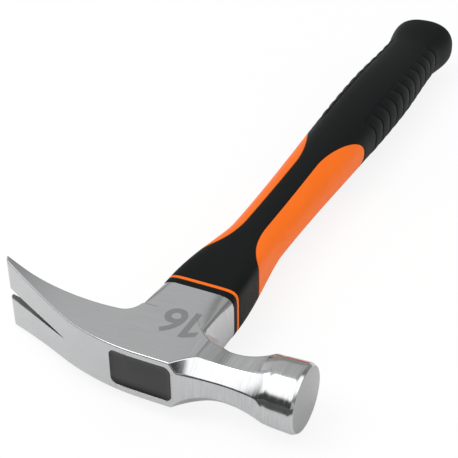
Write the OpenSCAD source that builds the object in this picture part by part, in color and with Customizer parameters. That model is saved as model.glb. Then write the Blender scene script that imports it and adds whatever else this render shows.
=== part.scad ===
// Straight claw hammer, 16 oz class: forged steel head on a two-colour fibreglass handle.
// Drawn lying on its side. X runs from the claw to the striking face, Y from the head
// to the butt and Z up through the cheeks. Lengths are in millimetres.

/* [Overall] */
// Length from the top of the head to the end of the butt
overall_length = 340; // [320:1:360]
// Distance from the middle of the eye to the handle's axis, towards the bell
handle_shift = 1.3; // [0:0.1:2]

/* [Claw] */
// Distance from the middle of the eye to the claw tips
claw_reach = 75.4; // [68:0.1:84]
// Width across the two tines at their tips
claw_tip_width = 33.2; // [29:0.1:37]
// Thickness of the tines behind their bevelled tips
claw_tip_thickness = 2.2; // [1.6:0.1:3]
// Length of the bevel that sharpens the tips
claw_tip_bevel = 2.2; // [1.2:0.1:3]
// Angle between the straight end of the claw and the top of the head
claw_rake = 24.2; // [21:0.1:27]
// Radius of the bend between the top of the head and the claw
claw_bend_radius = 100; // [88:1:112]
// Depth of the claw's underside where it meets the socket
claw_root_depth = 22.2; // [20:0.1:25]
// How far the claw's underside is hollowed between root and tip
claw_hollow = 2.5; // [1:0.1:3]
// Radius of the inside corner between claw and socket
claw_fillet = 6.2; // [4:0.1:8]
// Distance from the middle of the eye to the pointed end of the nail slot
slot_root_reach = 38; // [34:0.5:43]
// Width of the nail slot at the tips
slot_mouth = 6; // [5.2:0.1:7.4]
// Radius of the tines' corners at the mouth of the nail slot
slot_corner = 1.2; // [0.6:0.1:2.5]

/* [Cheeks and socket] */
// Width across the flat cheeks
cheek_width = 21.2; // [19.6:0.1:22.6]
// Length of the cheeks below the claw, claw side to bell side
socket_length = 28.2; // [27:0.1:30]
// How much further the socket reaches on the bell side of the eye than on the claw side
socket_lead = 2; // [0:0.1:2.4]
// Length of the socket at its lower end, claw side to bell side
socket_end_length = 31.8; // [31.2:0.1:33]
// Depth from the top of the head to the socket's lower end
socket_depth = 45.4; // [42:0.1:49]
// Squareness of the socket's lower end, 2 being an ellipse
socket_squareness = 5.5; // [3.4:0.1:6.4]
// Corner radius between the cheeks and the claw side of the socket
cheek_corner = 1; // [0.6:0.1:2]
// Corner radius between the cheeks and the bell side of the socket
front_corner = 2.4; // [1:0.1:3]
// Length of the eye at the top of the head
eye_top_length = 26.2; // [25:0.1:27]
// Width of the eye at the top of the head
eye_top_width = 15.6; // [15:0.1:16.4]
// Length of the eye at the socket's lower end
eye_low_length = 21.6; // [20.4:0.1:23]
// Width of the eye at the socket's lower end
eye_low_width = 14.8; // [14.2:0.1:15.4]
// Corner radius of the eye
eye_corner = 2.7; // [1.5:0.1:4]
// How far the epoxy lies below the top of the head
epoxy_recess = 0.7; // [0.4:0.1:1.5]
// Thickness of epoxy over the rod's end
epoxy_cover = 2; // [1:0.1:4]

/* [Neck and bell] */
// Distance from the middle of the eye to the striking face
face_reach = 61.2; // [57:0.1:66]
// Diameter of the bell at its rim
bell_diameter = 27.1; // [26:0.1:29]
// Diameter of the bell behind its shoulder
bell_back_diameter = 26; // [24.6:0.1:26]
// Length of the bell's cylinder with its bevel
bell_length = 15; // [12:0.1:17]
// Length of the shoulder between neck and bell
bell_shoulder = 2; // [1:0.1:3]
// Height of the shoulder between neck and bell
shoulder_height = 1.6; // [1:0.1:2.5]
// Length of the bevel round the striking face
face_bevel_length = 1.5; // [0.8:0.1:2.5]
// Height of the bevel round the striking face
face_bevel_height = 0.9; // [0.5:0.1:2]
// Depth of the bell's axis below the top of the head
bell_axis_depth = 14.4; // [14:0.1:15.5]
// Distance from the middle of the eye to the narrowest part of the neck
neck_waist_reach = 31; // [29:0.5:33]
// Distance from the bell's axis to the neck's top flat at the waist
neck_top = 11; // [9.6:0.1:11.5]
// Distance from the bell's axis to the neck's underside flat at the waist
neck_under = 10; // [9:0.1:11]
// Width of the neck at its waist, between the side flats
neck_width = 17.8; // [15:0.1:19.4]
// Distance from the bell's axis to the upper corner flats at the waist
neck_upper_corner = 10; // [9:0.1:10.6]
// Distance from the bell's axis to the lower corner flats at the waist
neck_lower_corner = 8.2; // [7.8:0.1:9.6]
// Radius of the hollow of the neck's top flat
neck_top_radius = 35; // [28:1:42]
// Radius of the hollow of the neck's underside flat, which runs up to the socket
neck_under_radius = 21; // [18:0.5:25]
// Radius of the hollow of the neck's side flats
neck_side_radius = 33; // [27:1:40]
// Radius of the hollow of the neck's corner flats
neck_corner_radius = 28; // [25:1:34]

/* [Core] */
// Width of the fibreglass rod, in the plane of the head
core_width = 17.2; // [16:0.1:18]
// Thickness of the fibreglass rod
core_thickness = 13; // [11:0.1:13.6]
// Corner radius of the rod
core_corner = 5; // [3:0.1:5.4]
// Distance from the rod's lower end to the end of the butt
core_end_cover = 12; // [9:0.5:18]

/* [Handle shape] */
// Length of the black collar under the socket
collar_length = 3.3; // [2.4:0.1:4.5]
// Length of the orange ring under the collar
ring_length = 1.7; // [1.2:0.1:2.5]
// Width of the sleeve at the collar
sleeve_width = 31.2; // [29.8:0.1:32.6]
// Thickness of the sleeve at the collar
sleeve_thickness = 21.2; // [20.6:0.1:23]
// Distance from the socket to the handle's waist
waist_distance = 56.6; // [48:0.1:62]
// Width of the handle at its waist
waist_width = 25.4; // [24.2:0.1:27]
// Thickness of the handle at its waist
waist_thickness = 19.2; // [18.8:0.1:21]
// Distance from the grip's fullest part to the end of the butt
belly_from_end = 87.5; // [77:0.5:97]
// Width of the grip at its fullest part
belly_width = 32.9; // [31:0.1:37]
// Thickness of the grip at its fullest part
belly_thickness = 27.6; // [25:0.1:31]
// Distance from the grip's throat to the end of the butt
throat_from_end = 35; // [29:0.5:41]
// Width of the grip at its throat
throat_width = 30.2; // [29:0.1:34]
// Thickness of the grip at its throat
throat_thickness = 25.2; // [23.6:0.1:28]
// Width of the flared butt
butt_width = 35.2; // [32:0.1:39]
// Thickness of the flared butt
butt_thickness = 28.8; // [26:0.1:32]
// Length of the rounding at the end of the butt
butt_rounding = 8.2; // [5:0.1:9]
// Squareness of the sleeve's section, 2 being an ellipse
sleeve_squareness = 7; // [4:0.1:8]
// Squareness of the waist's section
waist_squareness = 2.5; // [2:0.1:3.5]
// Squareness of the grip's section
grip_squareness = 2.4; // [2:0.1:3]

/* [Rubber and panels] */
// Rubber over the jacket at the sleeve and between the panels
sleeve_rubber = 1.5; // [1.2:0.1:1.8]
// Rubber over the jacket at the grip
grip_rubber = 2.8; // [2:0.1:4]
// Rubber over the jacket's closed end
butt_rubber = 6; // [4:0.1:8]
// Width of the black strip between the two side panels
strip_width = 10.3; // [8:0.1:12]
// Distance from the socket to the front of the side panels
panel_start = 25.4; // [21:0.1:33]
// Length of the side panels
panel_length = 125.6; // [110:0.1:131]
// Length of the panels' narrowing front
panel_nose = 31; // [25:0.5:37]
// Distance from the panels' front to the bend of their nose
panel_nose_bend = 10.4; // [8:0.1:14]
// Length of the panels' arched back
panel_arch = 41; // [33:0.5:47]
// Distance from the bend of the arch to the panels' back
panel_arch_bend = 24.6; // [18:0.1:30]
// Distance between grip grooves
groove_pitch = 10; // [8:0.1:12]
// Width of a grip groove
groove_width = 2; // [1.2:0.1:3]
// Depth of a grip groove
groove_depth = 0.8; // [0.4:0.1:1.2]
// How far the middle of a groove is bowed towards the butt
groove_bow = 4; // [0:0.5:5]
// Distance from the side panels to the first groove
groove_lead = 9; // [8:0.1:16]
// Least distance from the last groove to the end of the butt
groove_tail = 30; // [24:0.5:40]
// Width of the smooth field between the two rows of grooves
field_width = 21; // [17:0.5:24]
// Length over which a groove runs out beside the smooth field
groove_fade = 3; // [2:0.5:4]

/* [Hidden] */
$fn = 96;
// Points round a handle section, steps along an arc and rings along a stretch of handle
section_points = 40;
arc_steps = 12;
sleeve_rings = 24;
tail_rings = 8;
dome_rings = 5;
// Cuts run past the surfaces that they open by this much
overrun = 1;
// Step between the cheeks and the socket that grows out of them
socket_step = 0.05;

half_cheek = cheek_width / 2;
half_socket = socket_length / 2;
socket_width = cheek_width - 2 * socket_step;
bell_radius = bell_diameter / 2;
bell_back_radius = bell_back_diameter / 2;
rest_height = max(claw_tip_width, bell_diameter, butt_thickness) / 2;
collar_end = socket_depth + collar_length;
ring_end = collar_end + ring_length;

// Claw profile, seen from the cheek
bend_start = [-claw_bend_radius * sin(claw_rake), claw_bend_radius * (1 - cos(claw_rake))];
tip_top = claw_top(claw_reach - claw_tip_bevel);
tip_under = claw_top(claw_reach) + [0, claw_tip_thickness];
claw_root = [-half_socket - claw_fillet, claw_root_depth];
hollow_control = (tip_under + claw_root) / 2 - [0, 2 * claw_hollow];
neck_fillet_depth = bell_axis_depth + neck_under + neck_under_radius;

// Handle stations from the collar to the butt, with the half sizes there
butt_start = overall_length - butt_rounding;
waist_y = socket_depth + waist_distance;
belly_y = overall_length - belly_from_end;
throat_y = overall_length - throat_from_end;
stations = [ring_end, waist_y, belly_y, throat_y, butt_start];
half_widths = [sleeve_width, waist_width, belly_width, throat_width, butt_width] / 2;
half_thicknesses = [sleeve_thickness, waist_thickness, belly_thickness, throat_thickness, butt_thickness] / 2;
squareness = [sleeve_squareness, waist_squareness, grip_squareness, grip_squareness, grip_squareness];

// Side panels and grooves
panel_front_y = socket_depth + panel_start;
panel_back_y = panel_front_y + panel_length;
rubber_stations = [ring_end, panel_back_y - panel_arch, panel_back_y, overall_length];
rubber_walls = [sleeve_rubber, sleeve_rubber, grip_rubber, grip_rubber];
first_groove = panel_back_y + groove_lead;
groove_count = floor((overall_length - groove_tail - first_groove) / groove_pitch) + 1;
groove_ys = [for (i = [0:groove_count - 1]) first_groove + i * groove_pitch];
groove_field_end = groove_ys[groove_count - 1] + groove_width + groove_bow;
jacket_end = overall_length - butt_rubber;

// Point of the claw's straight top at a distance from the middle of the eye
function claw_top(reach) = [-reach, bend_start.y + (reach + bend_start.x) * tan(claw_rake)];

function smooth(t) = t * t * (3 - 2 * t);

function clamp(t) = min(max(t, 0), 1);

function stage(y, stops, i = 0) = i >= len(stops) - 2 || y < stops[i + 1] ? i : stage(y, stops, i + 1);

// Value at y of a curve that runs level through each stop
function along(y, stops, values) =
    let (i = stage(y, stops), t = clamp((y - stops[i]) / (stops[i + 1] - stops[i])))
    values[i] + (values[i + 1] - values[i]) * smooth(t);

// Quadratic curve from a to c, pulled towards b
function bend(a, b, c, steps) =
    [for (i = [0:steps]) let (t = i / steps) (1 - t) ^ 2 * a + 2 * t * (1 - t) * b + t ^ 2 * c];

function arc(centre, radius, from, to, steps) =
    [for (i = [0:steps]) let (a = from + (to - from) * i / steps) centre + radius * [cos(a), sin(a)]];

function signed_power(v, p) = sign(v) * abs(v) ^ p;

// Rounded section with half sizes a and b. On both sides of the smooth field it is pulled in
// by depth and bowed along the handle by bow
function section(a, b, square, y = 0, depth = 0, bow = 0) =
    [for (i = [0:section_points - 1])
        let (
            t = 360 * i / section_points,
            x = a * signed_power(cos(t), 2 / square),
            z = b * signed_power(sin(t), 2 / square),
            beside = abs(x) - field_width / 2,
            keep = 1 - depth * smooth(clamp(beside / groove_fade)) / norm([x, z]),
            lag = bow * smooth(clamp(beside / (a - field_width / 2)))
        ) [x * keep, y + lag, z * keep]];

// Section of the handle's outside at y, drawn in by inset
function outside(y, inset = 0, depth = 0, bow = 0) =
    section(
        along(y, stations, half_widths) - inset,
        along(y, stations, half_thicknesses) - inset,
        along(y, stations, squareness), y, depth, bow);

function spread(from, to, steps) = [for (i = [0:steps - 1]) from + (to - from) * i / steps];

// Rectangle with rounded corners, those at +X with a radius of their own if it is given
function rounded_rectangle(length, width, corner, front) =
    [for (side = [0:3])
        let (
            sx = side == 0 || side == 3 ? 1 : -1,
            sy = side < 2 ? 1 : -1,
            radius = sx > 0 && !is_undef(front) ? front : corner,
            centre = [sx * (length / 2 - radius), sy * (width / 2 - radius)]
        )
        each arc(centre, radius, side * 90, side * 90 + 90, arc_steps / 2)];

// Closed skin over a list of sections that all have the same number of points
module loft(sections) {
    count = len(sections[0]);
    last = len(sections) - 1;
    points = [for (ring = sections) each ring];
    start_cap = [for (i = [count - 1:-1:0]) i];
    end_cap = [for (i = [0:count - 1]) last * count + i];
    sides = [for (j = [0:last - 1], i = [0:count - 1])
        let (a = j * count + i, b = j * count + (i + 1) % count)
        each [[a, b, b + count], [a, b + count, a + count]]];
    polyhedron(points, concat([start_cap], sides, [end_cap]));
}

// Extrudes a plan in X and Z from one depth to another
module through(from, to) {
    translate([0, to, 0])
        rotate([90, 0, 0])
            linear_extrude(to - from)
                children();
}

// Moves the hammer from the middle of the eye to the point under its middle
module on_its_side() {
    translate([(claw_reach - face_reach) / 2, -overall_length / 2, rest_height])
        children();
}

// Moves the handle from the middle of the eye to its own axis
module on_the_axis() {
    translate([handle_shift, 0, 0])
        children();
}

// Top of the head from the claw tips to the neck's waist, seen from the cheek
function top_line() = concat(
    [tip_top],
    arc([0, claw_bend_radius], claw_bend_radius, 270 - claw_rake, 270, arc_steps),
    [[neck_waist_reach, 0]]);

// Side view of claw and cheeks up to the neck's waist, with room below the neck for its hollow
module side_view() {
    underside = bend(claw_root, hollow_control, tip_under, arc_steps);
    fillet = arc(claw_root + [0, claw_fillet], claw_fillet, 360, 270, arc_steps);
    neck = [
        [neck_waist_reach, neck_fillet_depth],
        [half_socket - overrun, neck_fillet_depth],
        [half_socket - overrun, claw_root_depth + claw_fillet]
    ];
    polygon(concat(top_line(), neck, fillet, underside));
}

// Plan view of the tines, which flare from the cheeks
module top_view() {
    flare_start = -claw_root.x;
    flare = [for (i = [0:arc_steps])
        let (t = i / arc_steps)
        [-flare_start - (claw_reach - flare_start) * t,
            half_cheek + (claw_tip_width - cheek_width) / 2 * t ^ 2]];
    edge = concat([[neck_waist_reach, half_cheek]], flare);
    mirrored = [for (i = [len(edge) - 1:-1:0]) [edge[i].x, -edge[i].y]];
    polygon(concat(edge, mirrored));
}

// Round blank between the neck's waist and the bell
module neck_blank() {
    translate([neck_waist_reach - overrun, bell_axis_depth, 0])
        rotate([0, 90, 0])
            cylinder(r = bell_back_radius, h = face_reach - bell_length - neck_waist_reach + overrun);
}

// One hollow of the neck: a wheel-shaped cut that leaves a flat at a given angle round the axis
module neck_hollow(angle, flat_distance, radius) {
    translate([neck_waist_reach, bell_axis_depth, 0])
        rotate([angle, 0, 0])
            translate([0, -flat_distance - radius, 0])
                cylinder(r = radius, h = 4 * bell_diameter, center = true);
}

module neck_hollows() {
    neck_hollow(0, neck_top, neck_top_radius);
    neck_hollow(180, neck_under, neck_under_radius);
    for (angle = [90, 270])
        neck_hollow(angle, neck_width / 2, neck_side_radius);
    for (angle = [45, 315])
        neck_hollow(angle, neck_upper_corner, neck_corner_radius);
    for (angle = [135, 225])
        neck_hollow(angle, neck_lower_corner, neck_corner_radius);
}

// Socket that grows out of the cheeks, rounding off and spreading towards the collar
module socket() {
    hull() {
        through(claw_root_depth / 2, claw_root_depth)
            translate([socket_lead / 2, 0])
                polygon(rounded_rectangle(socket_length + socket_lead, socket_width, cheek_corner, front_corner));
        on_the_axis()
            through(socket_depth - overrun, socket_depth)
                polygon([for (p = section(socket_end_length / 2, socket_width / 2, socket_squareness)) [p.x, p.z]]);
    }
}

module bell() {
    shoulder_radius = bell_back_radius - shoulder_height;
    start = face_reach - bell_length - bell_shoulder;
    translate([0, bell_axis_depth, 0])
        rotate([0, 90, 0])
            rotate_extrude()
                polygon([
                    [0, start],
                    [shoulder_radius, start],
                    [bell_back_radius, start + bell_shoulder],
                    [bell_radius, face_reach - face_bevel_length],
                    [bell_radius - face_bevel_height, face_reach],
                    [0, face_reach]
                ]);
}

// Tapered hole for the handle, carried past the head by extra at both ends
module eye(extra) {
    taper = [eye_low_length - eye_top_length, eye_low_width - eye_top_width] / socket_depth;
    function ring(y) = [for (p = rounded_rectangle(
        eye_top_length + taper.x * y, eye_top_width + taper.y * y, eye_corner)) [p.x, y, p.y]];
    loft([ring(-extra), ring(socket_depth + extra)]);
}

// Nail slot with curved sides, whose mouth rounds off into the tips
module nail_slot() {
    half_mouth = slot_mouth / 2;
    inner = claw_reach - slot_corner;
    root = [-slot_root_reach, 0];
    side = bend(root, [-(slot_root_reach + inner) / 2, half_mouth], [-inner, half_mouth], arc_steps);
    rounding = arc([-inner, half_mouth + slot_corner], slot_corner, 270, 180, arc_steps / 2);
    edge = concat(
        [for (i = [1:len(side) - 1]) side[i]],
        [for (i = [1:len(rounding) - 1]) rounding[i]],
        [[-claw_reach - overrun, half_mouth + slot_corner]]);
    mirrored = [for (i = [len(edge) - 1:-1:0]) [edge[i].x, -edge[i].y]];
    through(-overrun, socket_depth)
        polygon(concat([root], edge, mirrored));
}

// Everything below the top of the head, seen from the cheek
module below_top() {
    polygon(concat(top_line(), [[neck_waist_reach, 2 * socket_depth], [-claw_reach, 2 * socket_depth]]));
}

module core_section() {
    polygon(rounded_rectangle(core_width, core_thickness, core_corner));
}

module hammer_head() {
    color("silver")
        on_its_side()
            difference() {
                union() {
                    difference() {
                        union() {
                            intersection() {
                                linear_extrude(2 * claw_tip_width, center = true)
                                    side_view();
                                through(-overrun, 2 * socket_depth)
                                    top_view();
                            }
                            neck_blank();
                        }
                        neck_hollows();
                    }
                    socket();
                    bell();
                }
                eye(overrun);
                nail_slot();
            }
}

// Epoxy fills the eye up to just below the top of the head
module eye_epoxy() {
    color("dimgray")
        on_its_side()
            difference() {
                intersection() {
                    eye(0);
                    translate([0, epoxy_recess, 0])
                        linear_extrude(cheek_width, center = true)
                            below_top();
                }
                on_the_axis()
                    through(epoxy_recess + epoxy_cover, socket_depth + overrun)
                        core_section();
            }
}

module fibreglass_core() {
    color("khaki")
        on_its_side()
            on_the_axis()
                through(epoxy_recess + epoxy_cover, overall_length - core_end_cover)
                    core_section();
}

// Sections from the ring to the back of the side panels
function sleeve_sections() =
    [for (y = concat(spread(ring_end, panel_back_y, sleeve_rings), [panel_back_y])) outside(y)];

// Sections across one groove, bowed together
function groove_sections(y) = [
    outside(y - groove_width / 2, 0, 0, groove_bow),
    outside(y, 0, groove_depth, groove_bow),
    outside(y + groove_width / 2, 0, 0, groove_bow)
];

// Sections of the handle's outside, with the grooves and the rounded butt
function handle_sections() = concat(
    sleeve_sections(),
    [for (y = groove_ys) each groove_sections(y)],
    [for (y = spread(groove_field_end, butt_start, tail_rings)) outside(y)],
    [for (i = [0:dome_rings])
        let (t = 90 * i / dome_rings)
        outside(butt_start + butt_rounding * sin(t), butt_rounding * (1 - cos(t)))]);

module handle_outside() {
    loft(handle_sections());
}

// Tube moulded round the rod, under all of the rubber
module jacket_tube() {
    rings = concat([socket_depth], spread(ring_end, jacket_end, sleeve_rings), [jacket_end]);
    loft([for (y = rings) outside(y, along(y, rubber_stations, rubber_walls))]);
}

// Plan of one side panel, with its narrowing front and arched back
module panel_plan() {
    half_strip = strip_width / 2;
    nose = bend(
        [sleeve_width / 2, panel_front_y], [half_strip, panel_front_y + panel_nose_bend],
        [half_strip, panel_front_y + panel_nose], arc_steps);
    arch = bend(
        [half_strip, panel_back_y - panel_arch], [half_strip, panel_back_y - panel_arch_bend],
        [belly_width / 2, panel_back_y], arc_steps);
    polygon(concat([[belly_width, panel_front_y]], nose, arch, [[belly_width, panel_back_y]]));
}

module panel_windows() {
    linear_extrude(2 * belly_thickness, center = true) {
        panel_plan();
        mirror([1, 0])
            panel_plan();
    }
}

// Section of the handle where it starts, drawn in by inset
module sleeve_section(inset = 0) {
    polygon([for (p = outside(ring_end, inset)) [p.x, p.z]]);
}

module handle_jacket() {
    color("darkorange")
        on_its_side()
            on_the_axis()
                difference() {
                    union() {
                        jacket_tube();
                        through(collar_end, ring_end)
                            sleeve_section();
                        intersection() {
                            loft(sleeve_sections());
                            panel_windows();
                        }
                    }
                    through(0, overall_length - core_end_cover)
                        core_section();
                }
}

module front_collar() {
    color("darkslategray")
        on_its_side()
            on_the_axis()
                difference() {
                    through(socket_depth, collar_end)
                        sleeve_section();
                    through(socket_depth - overrun, collar_end + overrun)
                        sleeve_section(sleeve_rubber);
                }
}

module rubber_grip() {
    color("dimgray")
        on_its_side()
            on_the_axis()
                difference() {
                    handle_outside();
                    jacket_tube();
                    panel_windows();
                }
}

hammer_head();
eye_epoxy();
fibreglass_core();
handle_jacket();
front_collar();
rubber_grip();
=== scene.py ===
"""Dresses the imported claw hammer: forged head, epoxy eye, two-shot handle, studio and camera.

Shapes are worked out in millimetres in the maker's frame, whose origin is the middle of the eye at the top of
the head: x runs to the striking face, y down the handle to the butt and z through the cheeks.
"""

import logging
import math
from contextlib import contextmanager
from dataclasses import asdict, dataclass, fields
from enum import Enum
from typing import Callable, Iterator

import bmesh
import bpy
import numpy as np
from mathutils import Matrix, Vector


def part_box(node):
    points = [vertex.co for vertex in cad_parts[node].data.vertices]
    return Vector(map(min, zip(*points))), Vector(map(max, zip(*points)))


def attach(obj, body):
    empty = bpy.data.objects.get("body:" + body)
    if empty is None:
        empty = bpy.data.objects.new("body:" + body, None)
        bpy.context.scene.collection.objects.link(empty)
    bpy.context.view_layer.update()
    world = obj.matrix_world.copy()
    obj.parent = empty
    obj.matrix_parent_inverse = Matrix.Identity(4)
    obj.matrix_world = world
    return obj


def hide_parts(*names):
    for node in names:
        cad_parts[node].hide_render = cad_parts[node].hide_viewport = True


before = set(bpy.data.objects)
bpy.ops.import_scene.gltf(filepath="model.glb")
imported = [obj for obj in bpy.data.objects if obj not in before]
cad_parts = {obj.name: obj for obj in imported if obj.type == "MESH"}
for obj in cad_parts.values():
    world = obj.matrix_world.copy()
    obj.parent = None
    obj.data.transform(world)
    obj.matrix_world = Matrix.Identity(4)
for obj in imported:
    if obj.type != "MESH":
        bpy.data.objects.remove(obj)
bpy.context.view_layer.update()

MM = 0.001
WELD = 1e-6
TINY = 1e-9
MIDDLE = 0.5
WHITE = (1.0, 1.0, 1.0, 1.0)
FACE_REACH = 61.2
IMAGE_SIZE = 458
log = logging.getLogger("hammer")

Array = np.ndarray
Value = Array | float
Pair = tuple[float, float]
Triple = tuple[float, float, float]
Faces = list[tuple[int, ...]]


class Slot(Enum):
    """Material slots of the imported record."""

    STEEL = "forged_steel"
    EPOXY = "epoxy"
    ORANGE = "orange_plastic"
    RUBBER = "black_rubber"


class Side(Enum):
    """The two sides of the handle, by the sign of x."""

    FACE = 1
    CLAW = -1


# Curves and solids as functions of distance


def clamp(t: Array) -> Array:
    """Limits values to the range from 0 to 1."""
    return np.clip(t, 0.0, 1.0)


def smooth(t: Array) -> Array:
    """Eases values from 0 to 1 with level ends."""
    t = clamp(t)
    return t * t * (3 - 2 * t)


def meet(a: Array, b: Array, radius: Value) -> Array:
    """Distance to what two solids share, with the edge between them rounded.

    Args:
        a: Distance to the first solid, negative inside.
        b: Distance to the second solid.
        radius: Radius of the rounded edge.

    Returns:
        Distance to the shared solid.
    """
    corner = np.hypot(np.maximum(a + radius, 0), np.maximum(b + radius, 0))
    return np.minimum(-radius, np.maximum(a, b)) + corner


def join(a: Array, b: Array, radius: Value) -> Array:
    """Distance to two solids taken together, with a fillet between them.

    Args:
        a: Distance to the first solid, negative inside.
        b: Distance to the second solid.
        radius: Radius of the fillet.

    Returns:
        Distance to the joined solid.
    """
    return -meet(-a, -b, radius)


def rounded_box(x: Array, z: Array, half_x: Value, half_z: Value, corner: Value) -> Array:
    """Distance to a rounded rectangle about the origin.

    Args:
        x: First coordinate.
        z: Second coordinate.
        half_x: Half size along x.
        half_z: Half size along z.
        corner: Corner radius.

    Returns:
        Distance, negative inside.
    """
    dx = np.abs(x) - half_x + corner
    dz = np.abs(z) - half_z + corner
    return np.hypot(np.maximum(dx, 0), np.maximum(dz, 0)) + np.minimum(np.maximum(dx, dz), 0) - corner


def rounded_oval(x: Array, z: Array, half_x: Value, half_z: Value, square: Value) -> Array:
    """Distance, near its edge, to an oval that grows squarer with its last value.

    Args:
        x: First coordinate.
        z: Second coordinate.
        half_x: Half size along x.
        half_z: Half size along z.
        square: 2 for an ellipse, more for squarer corners.

    Returns:
        Distance, negative inside.
    """
    u, v = np.abs(x) / half_x, np.abs(z) / half_z
    size = np.maximum(u**square + v**square, TINY) ** (1 / square)
    lean = np.hypot((u / size) ** (square - 1) / half_x, (v / size) ** (square - 1) / half_z)
    return (size - 1) / np.maximum(lean, TINY)


def between(x: Array, low: Value, high: Value) -> Array:
    """Distance to the slab between two planes across an axis."""
    return np.abs(x - (low + high) / 2) - (high - low) / 2


# Meshes


@dataclass(frozen=True)
class Bench:
    """Where the maker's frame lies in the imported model.

    Attributes:
        origin: The middle of the eye at the top of the head, in metres.
    """

    origin: Vector

    @classmethod
    def from_frame(cls) -> "Bench":
        """Reads the top of the head, its middle plane and the striking face off the head's box."""
        low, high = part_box("hammer_head")
        return cls(Vector((high.x - FACE_REACH * MM, low.y, (low.z + high.z) / 2)))

    def place(self, points: Array) -> Array:
        """Turns millimetres in the maker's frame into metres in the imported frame."""
        return points * MM + np.array(self.origin)

    def point(self, x: float, y: float, z: float) -> Vector:
        """One point, from the maker's millimetres to packed metres."""
        return Vector((x, y, z)) * MM + self.origin

    def local(self, points: Array) -> Array:
        """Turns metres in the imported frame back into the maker's millimetres."""
        return (points - np.array(self.origin)) / MM


BENCH = Bench.from_frame()


def link(name: str, data: bpy.types.Mesh | bpy.types.Curve) -> bpy.types.Object:
    """Puts a mesh or a curve into the scene as an object at the origin.

    Args:
        name: Name of the object.
        data: Its mesh or curve.

    Returns:
        The object.
    """
    piece = bpy.data.objects.new(name, data)
    bpy.context.scene.collection.objects.link(piece)
    return piece


def make_mesh(name: str, points: Array, faces: Faces | Array) -> bpy.types.Mesh:
    """Builds a smooth mesh from points in the maker's frame.

    Args:
        name: Name of the mesh.
        points: Corners, one row each, in millimetres.
        faces: Corner numbers of each face.

    Returns:
        The mesh, in packed metres.
    """
    mesh = bpy.data.meshes.new(name)
    mesh.from_pydata(BENCH.place(points).tolist(), [], [tuple(map(int, face)) for face in faces])
    mesh.shade_smooth()
    return mesh


@contextmanager
def edited(mesh: bpy.types.Mesh) -> Iterator[bmesh.types.BMesh]:
    """Opens a mesh for editing and writes the result back.

    Args:
        mesh: The mesh.

    Returns:
        The open mesh, for a with statement.
    """
    bm = bmesh.new()
    bm.from_mesh(mesh)
    yield bm
    bm.to_mesh(mesh)
    bm.free()


def weld(mesh: bpy.types.Mesh) -> bpy.types.Mesh:
    """Merges corners that coincide and turns every face outwards.

    Args:
        mesh: The mesh.

    Returns:
        The same mesh.
    """
    with edited(mesh) as bm:
        bmesh.ops.remove_doubles(bm, verts=bm.verts, dist=WELD)
        bmesh.ops.dissolve_degenerate(bm, edges=bm.edges, dist=WELD)
        bmesh.ops.recalc_face_normals(bm, faces=bm.faces)
    return mesh


def settle(piece: bpy.types.Object) -> bpy.types.Object:
    """Replaces a piece's live modifiers with their result.

    Args:
        piece: The piece.

    Returns:
        The same piece.
    """
    graph = bpy.context.evaluated_depsgraph_get()
    graph.update()
    mesh = bpy.data.meshes.new_from_object(piece.evaluated_get(graph), depsgraph=graph)
    piece.modifiers.clear()
    piece.data = mesh
    return piece


def thicken(piece: bpy.types.Object, wall: float) -> bpy.types.Object:
    """Gives an open shell a wall on its inner side.

    Args:
        piece: The shell.
        wall: Thickness in millimetres.

    Returns:
        The same piece.
    """
    modifier = piece.modifiers.new("wall", "SOLIDIFY")
    modifier.thickness = wall * MM
    modifier.offset = -1
    return settle(piece)


def grid_faces(
    rows: int, columns: int, start: int = 0, wrap_rows: bool = False, wrap_columns: bool = False
) -> Faces:
    """Faces of a grid of corners.

    Args:
        rows: Number of rows.
        columns: Number of columns.
        start: Number of the first corner.
        wrap_rows: Whether the last row joins the first.
        wrap_columns: Whether the last column joins the first.

    Returns:
        Corner numbers of each face.
    """
    faces = []
    for i in range(rows if wrap_rows else rows - 1):
        for j in range(columns if wrap_columns else columns - 1):
            i2 = (i + 1) % rows
            j2 = (j + 1) % columns
            corners = (i * columns + j, i * columns + j2, i2 * columns + j2, i2 * columns + j)
            faces.append(tuple(start + c for c in corners))
    return faces


def store(mesh: bpy.types.Mesh, name: str, values: Array) -> None:
    """Stores one number or one vector for each corner of a mesh as an attribute.

    Args:
        mesh: The mesh.
        name: Name of the attribute.
        values: A number or a row of three for each corner.
    """
    kind, key = ("FLOAT", "value") if values.ndim == 1 else ("FLOAT_VECTOR", "vector")
    attribute = mesh.attributes.new(name, kind, "POINT")
    attribute.data.foreach_set(key, values.astype(np.float32).ravel())


def raw_corners(mesh: bpy.types.Mesh) -> Array:
    """Corners of a mesh in its own units, one row each.

    Args:
        mesh: The mesh.

    Returns:
        The corners.
    """
    co = np.zeros(len(mesh.vertices) * 3, np.float32)
    mesh.vertices.foreach_get("co", co)
    return co.reshape(-1, 3).astype(float)


def move_corners(mesh: bpy.types.Mesh, points: Array) -> None:
    """Moves a mesh's corners to points in the maker's frame."""
    mesh.vertices.foreach_set("co", BENCH.place(points).astype(np.float32).ravel())


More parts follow.
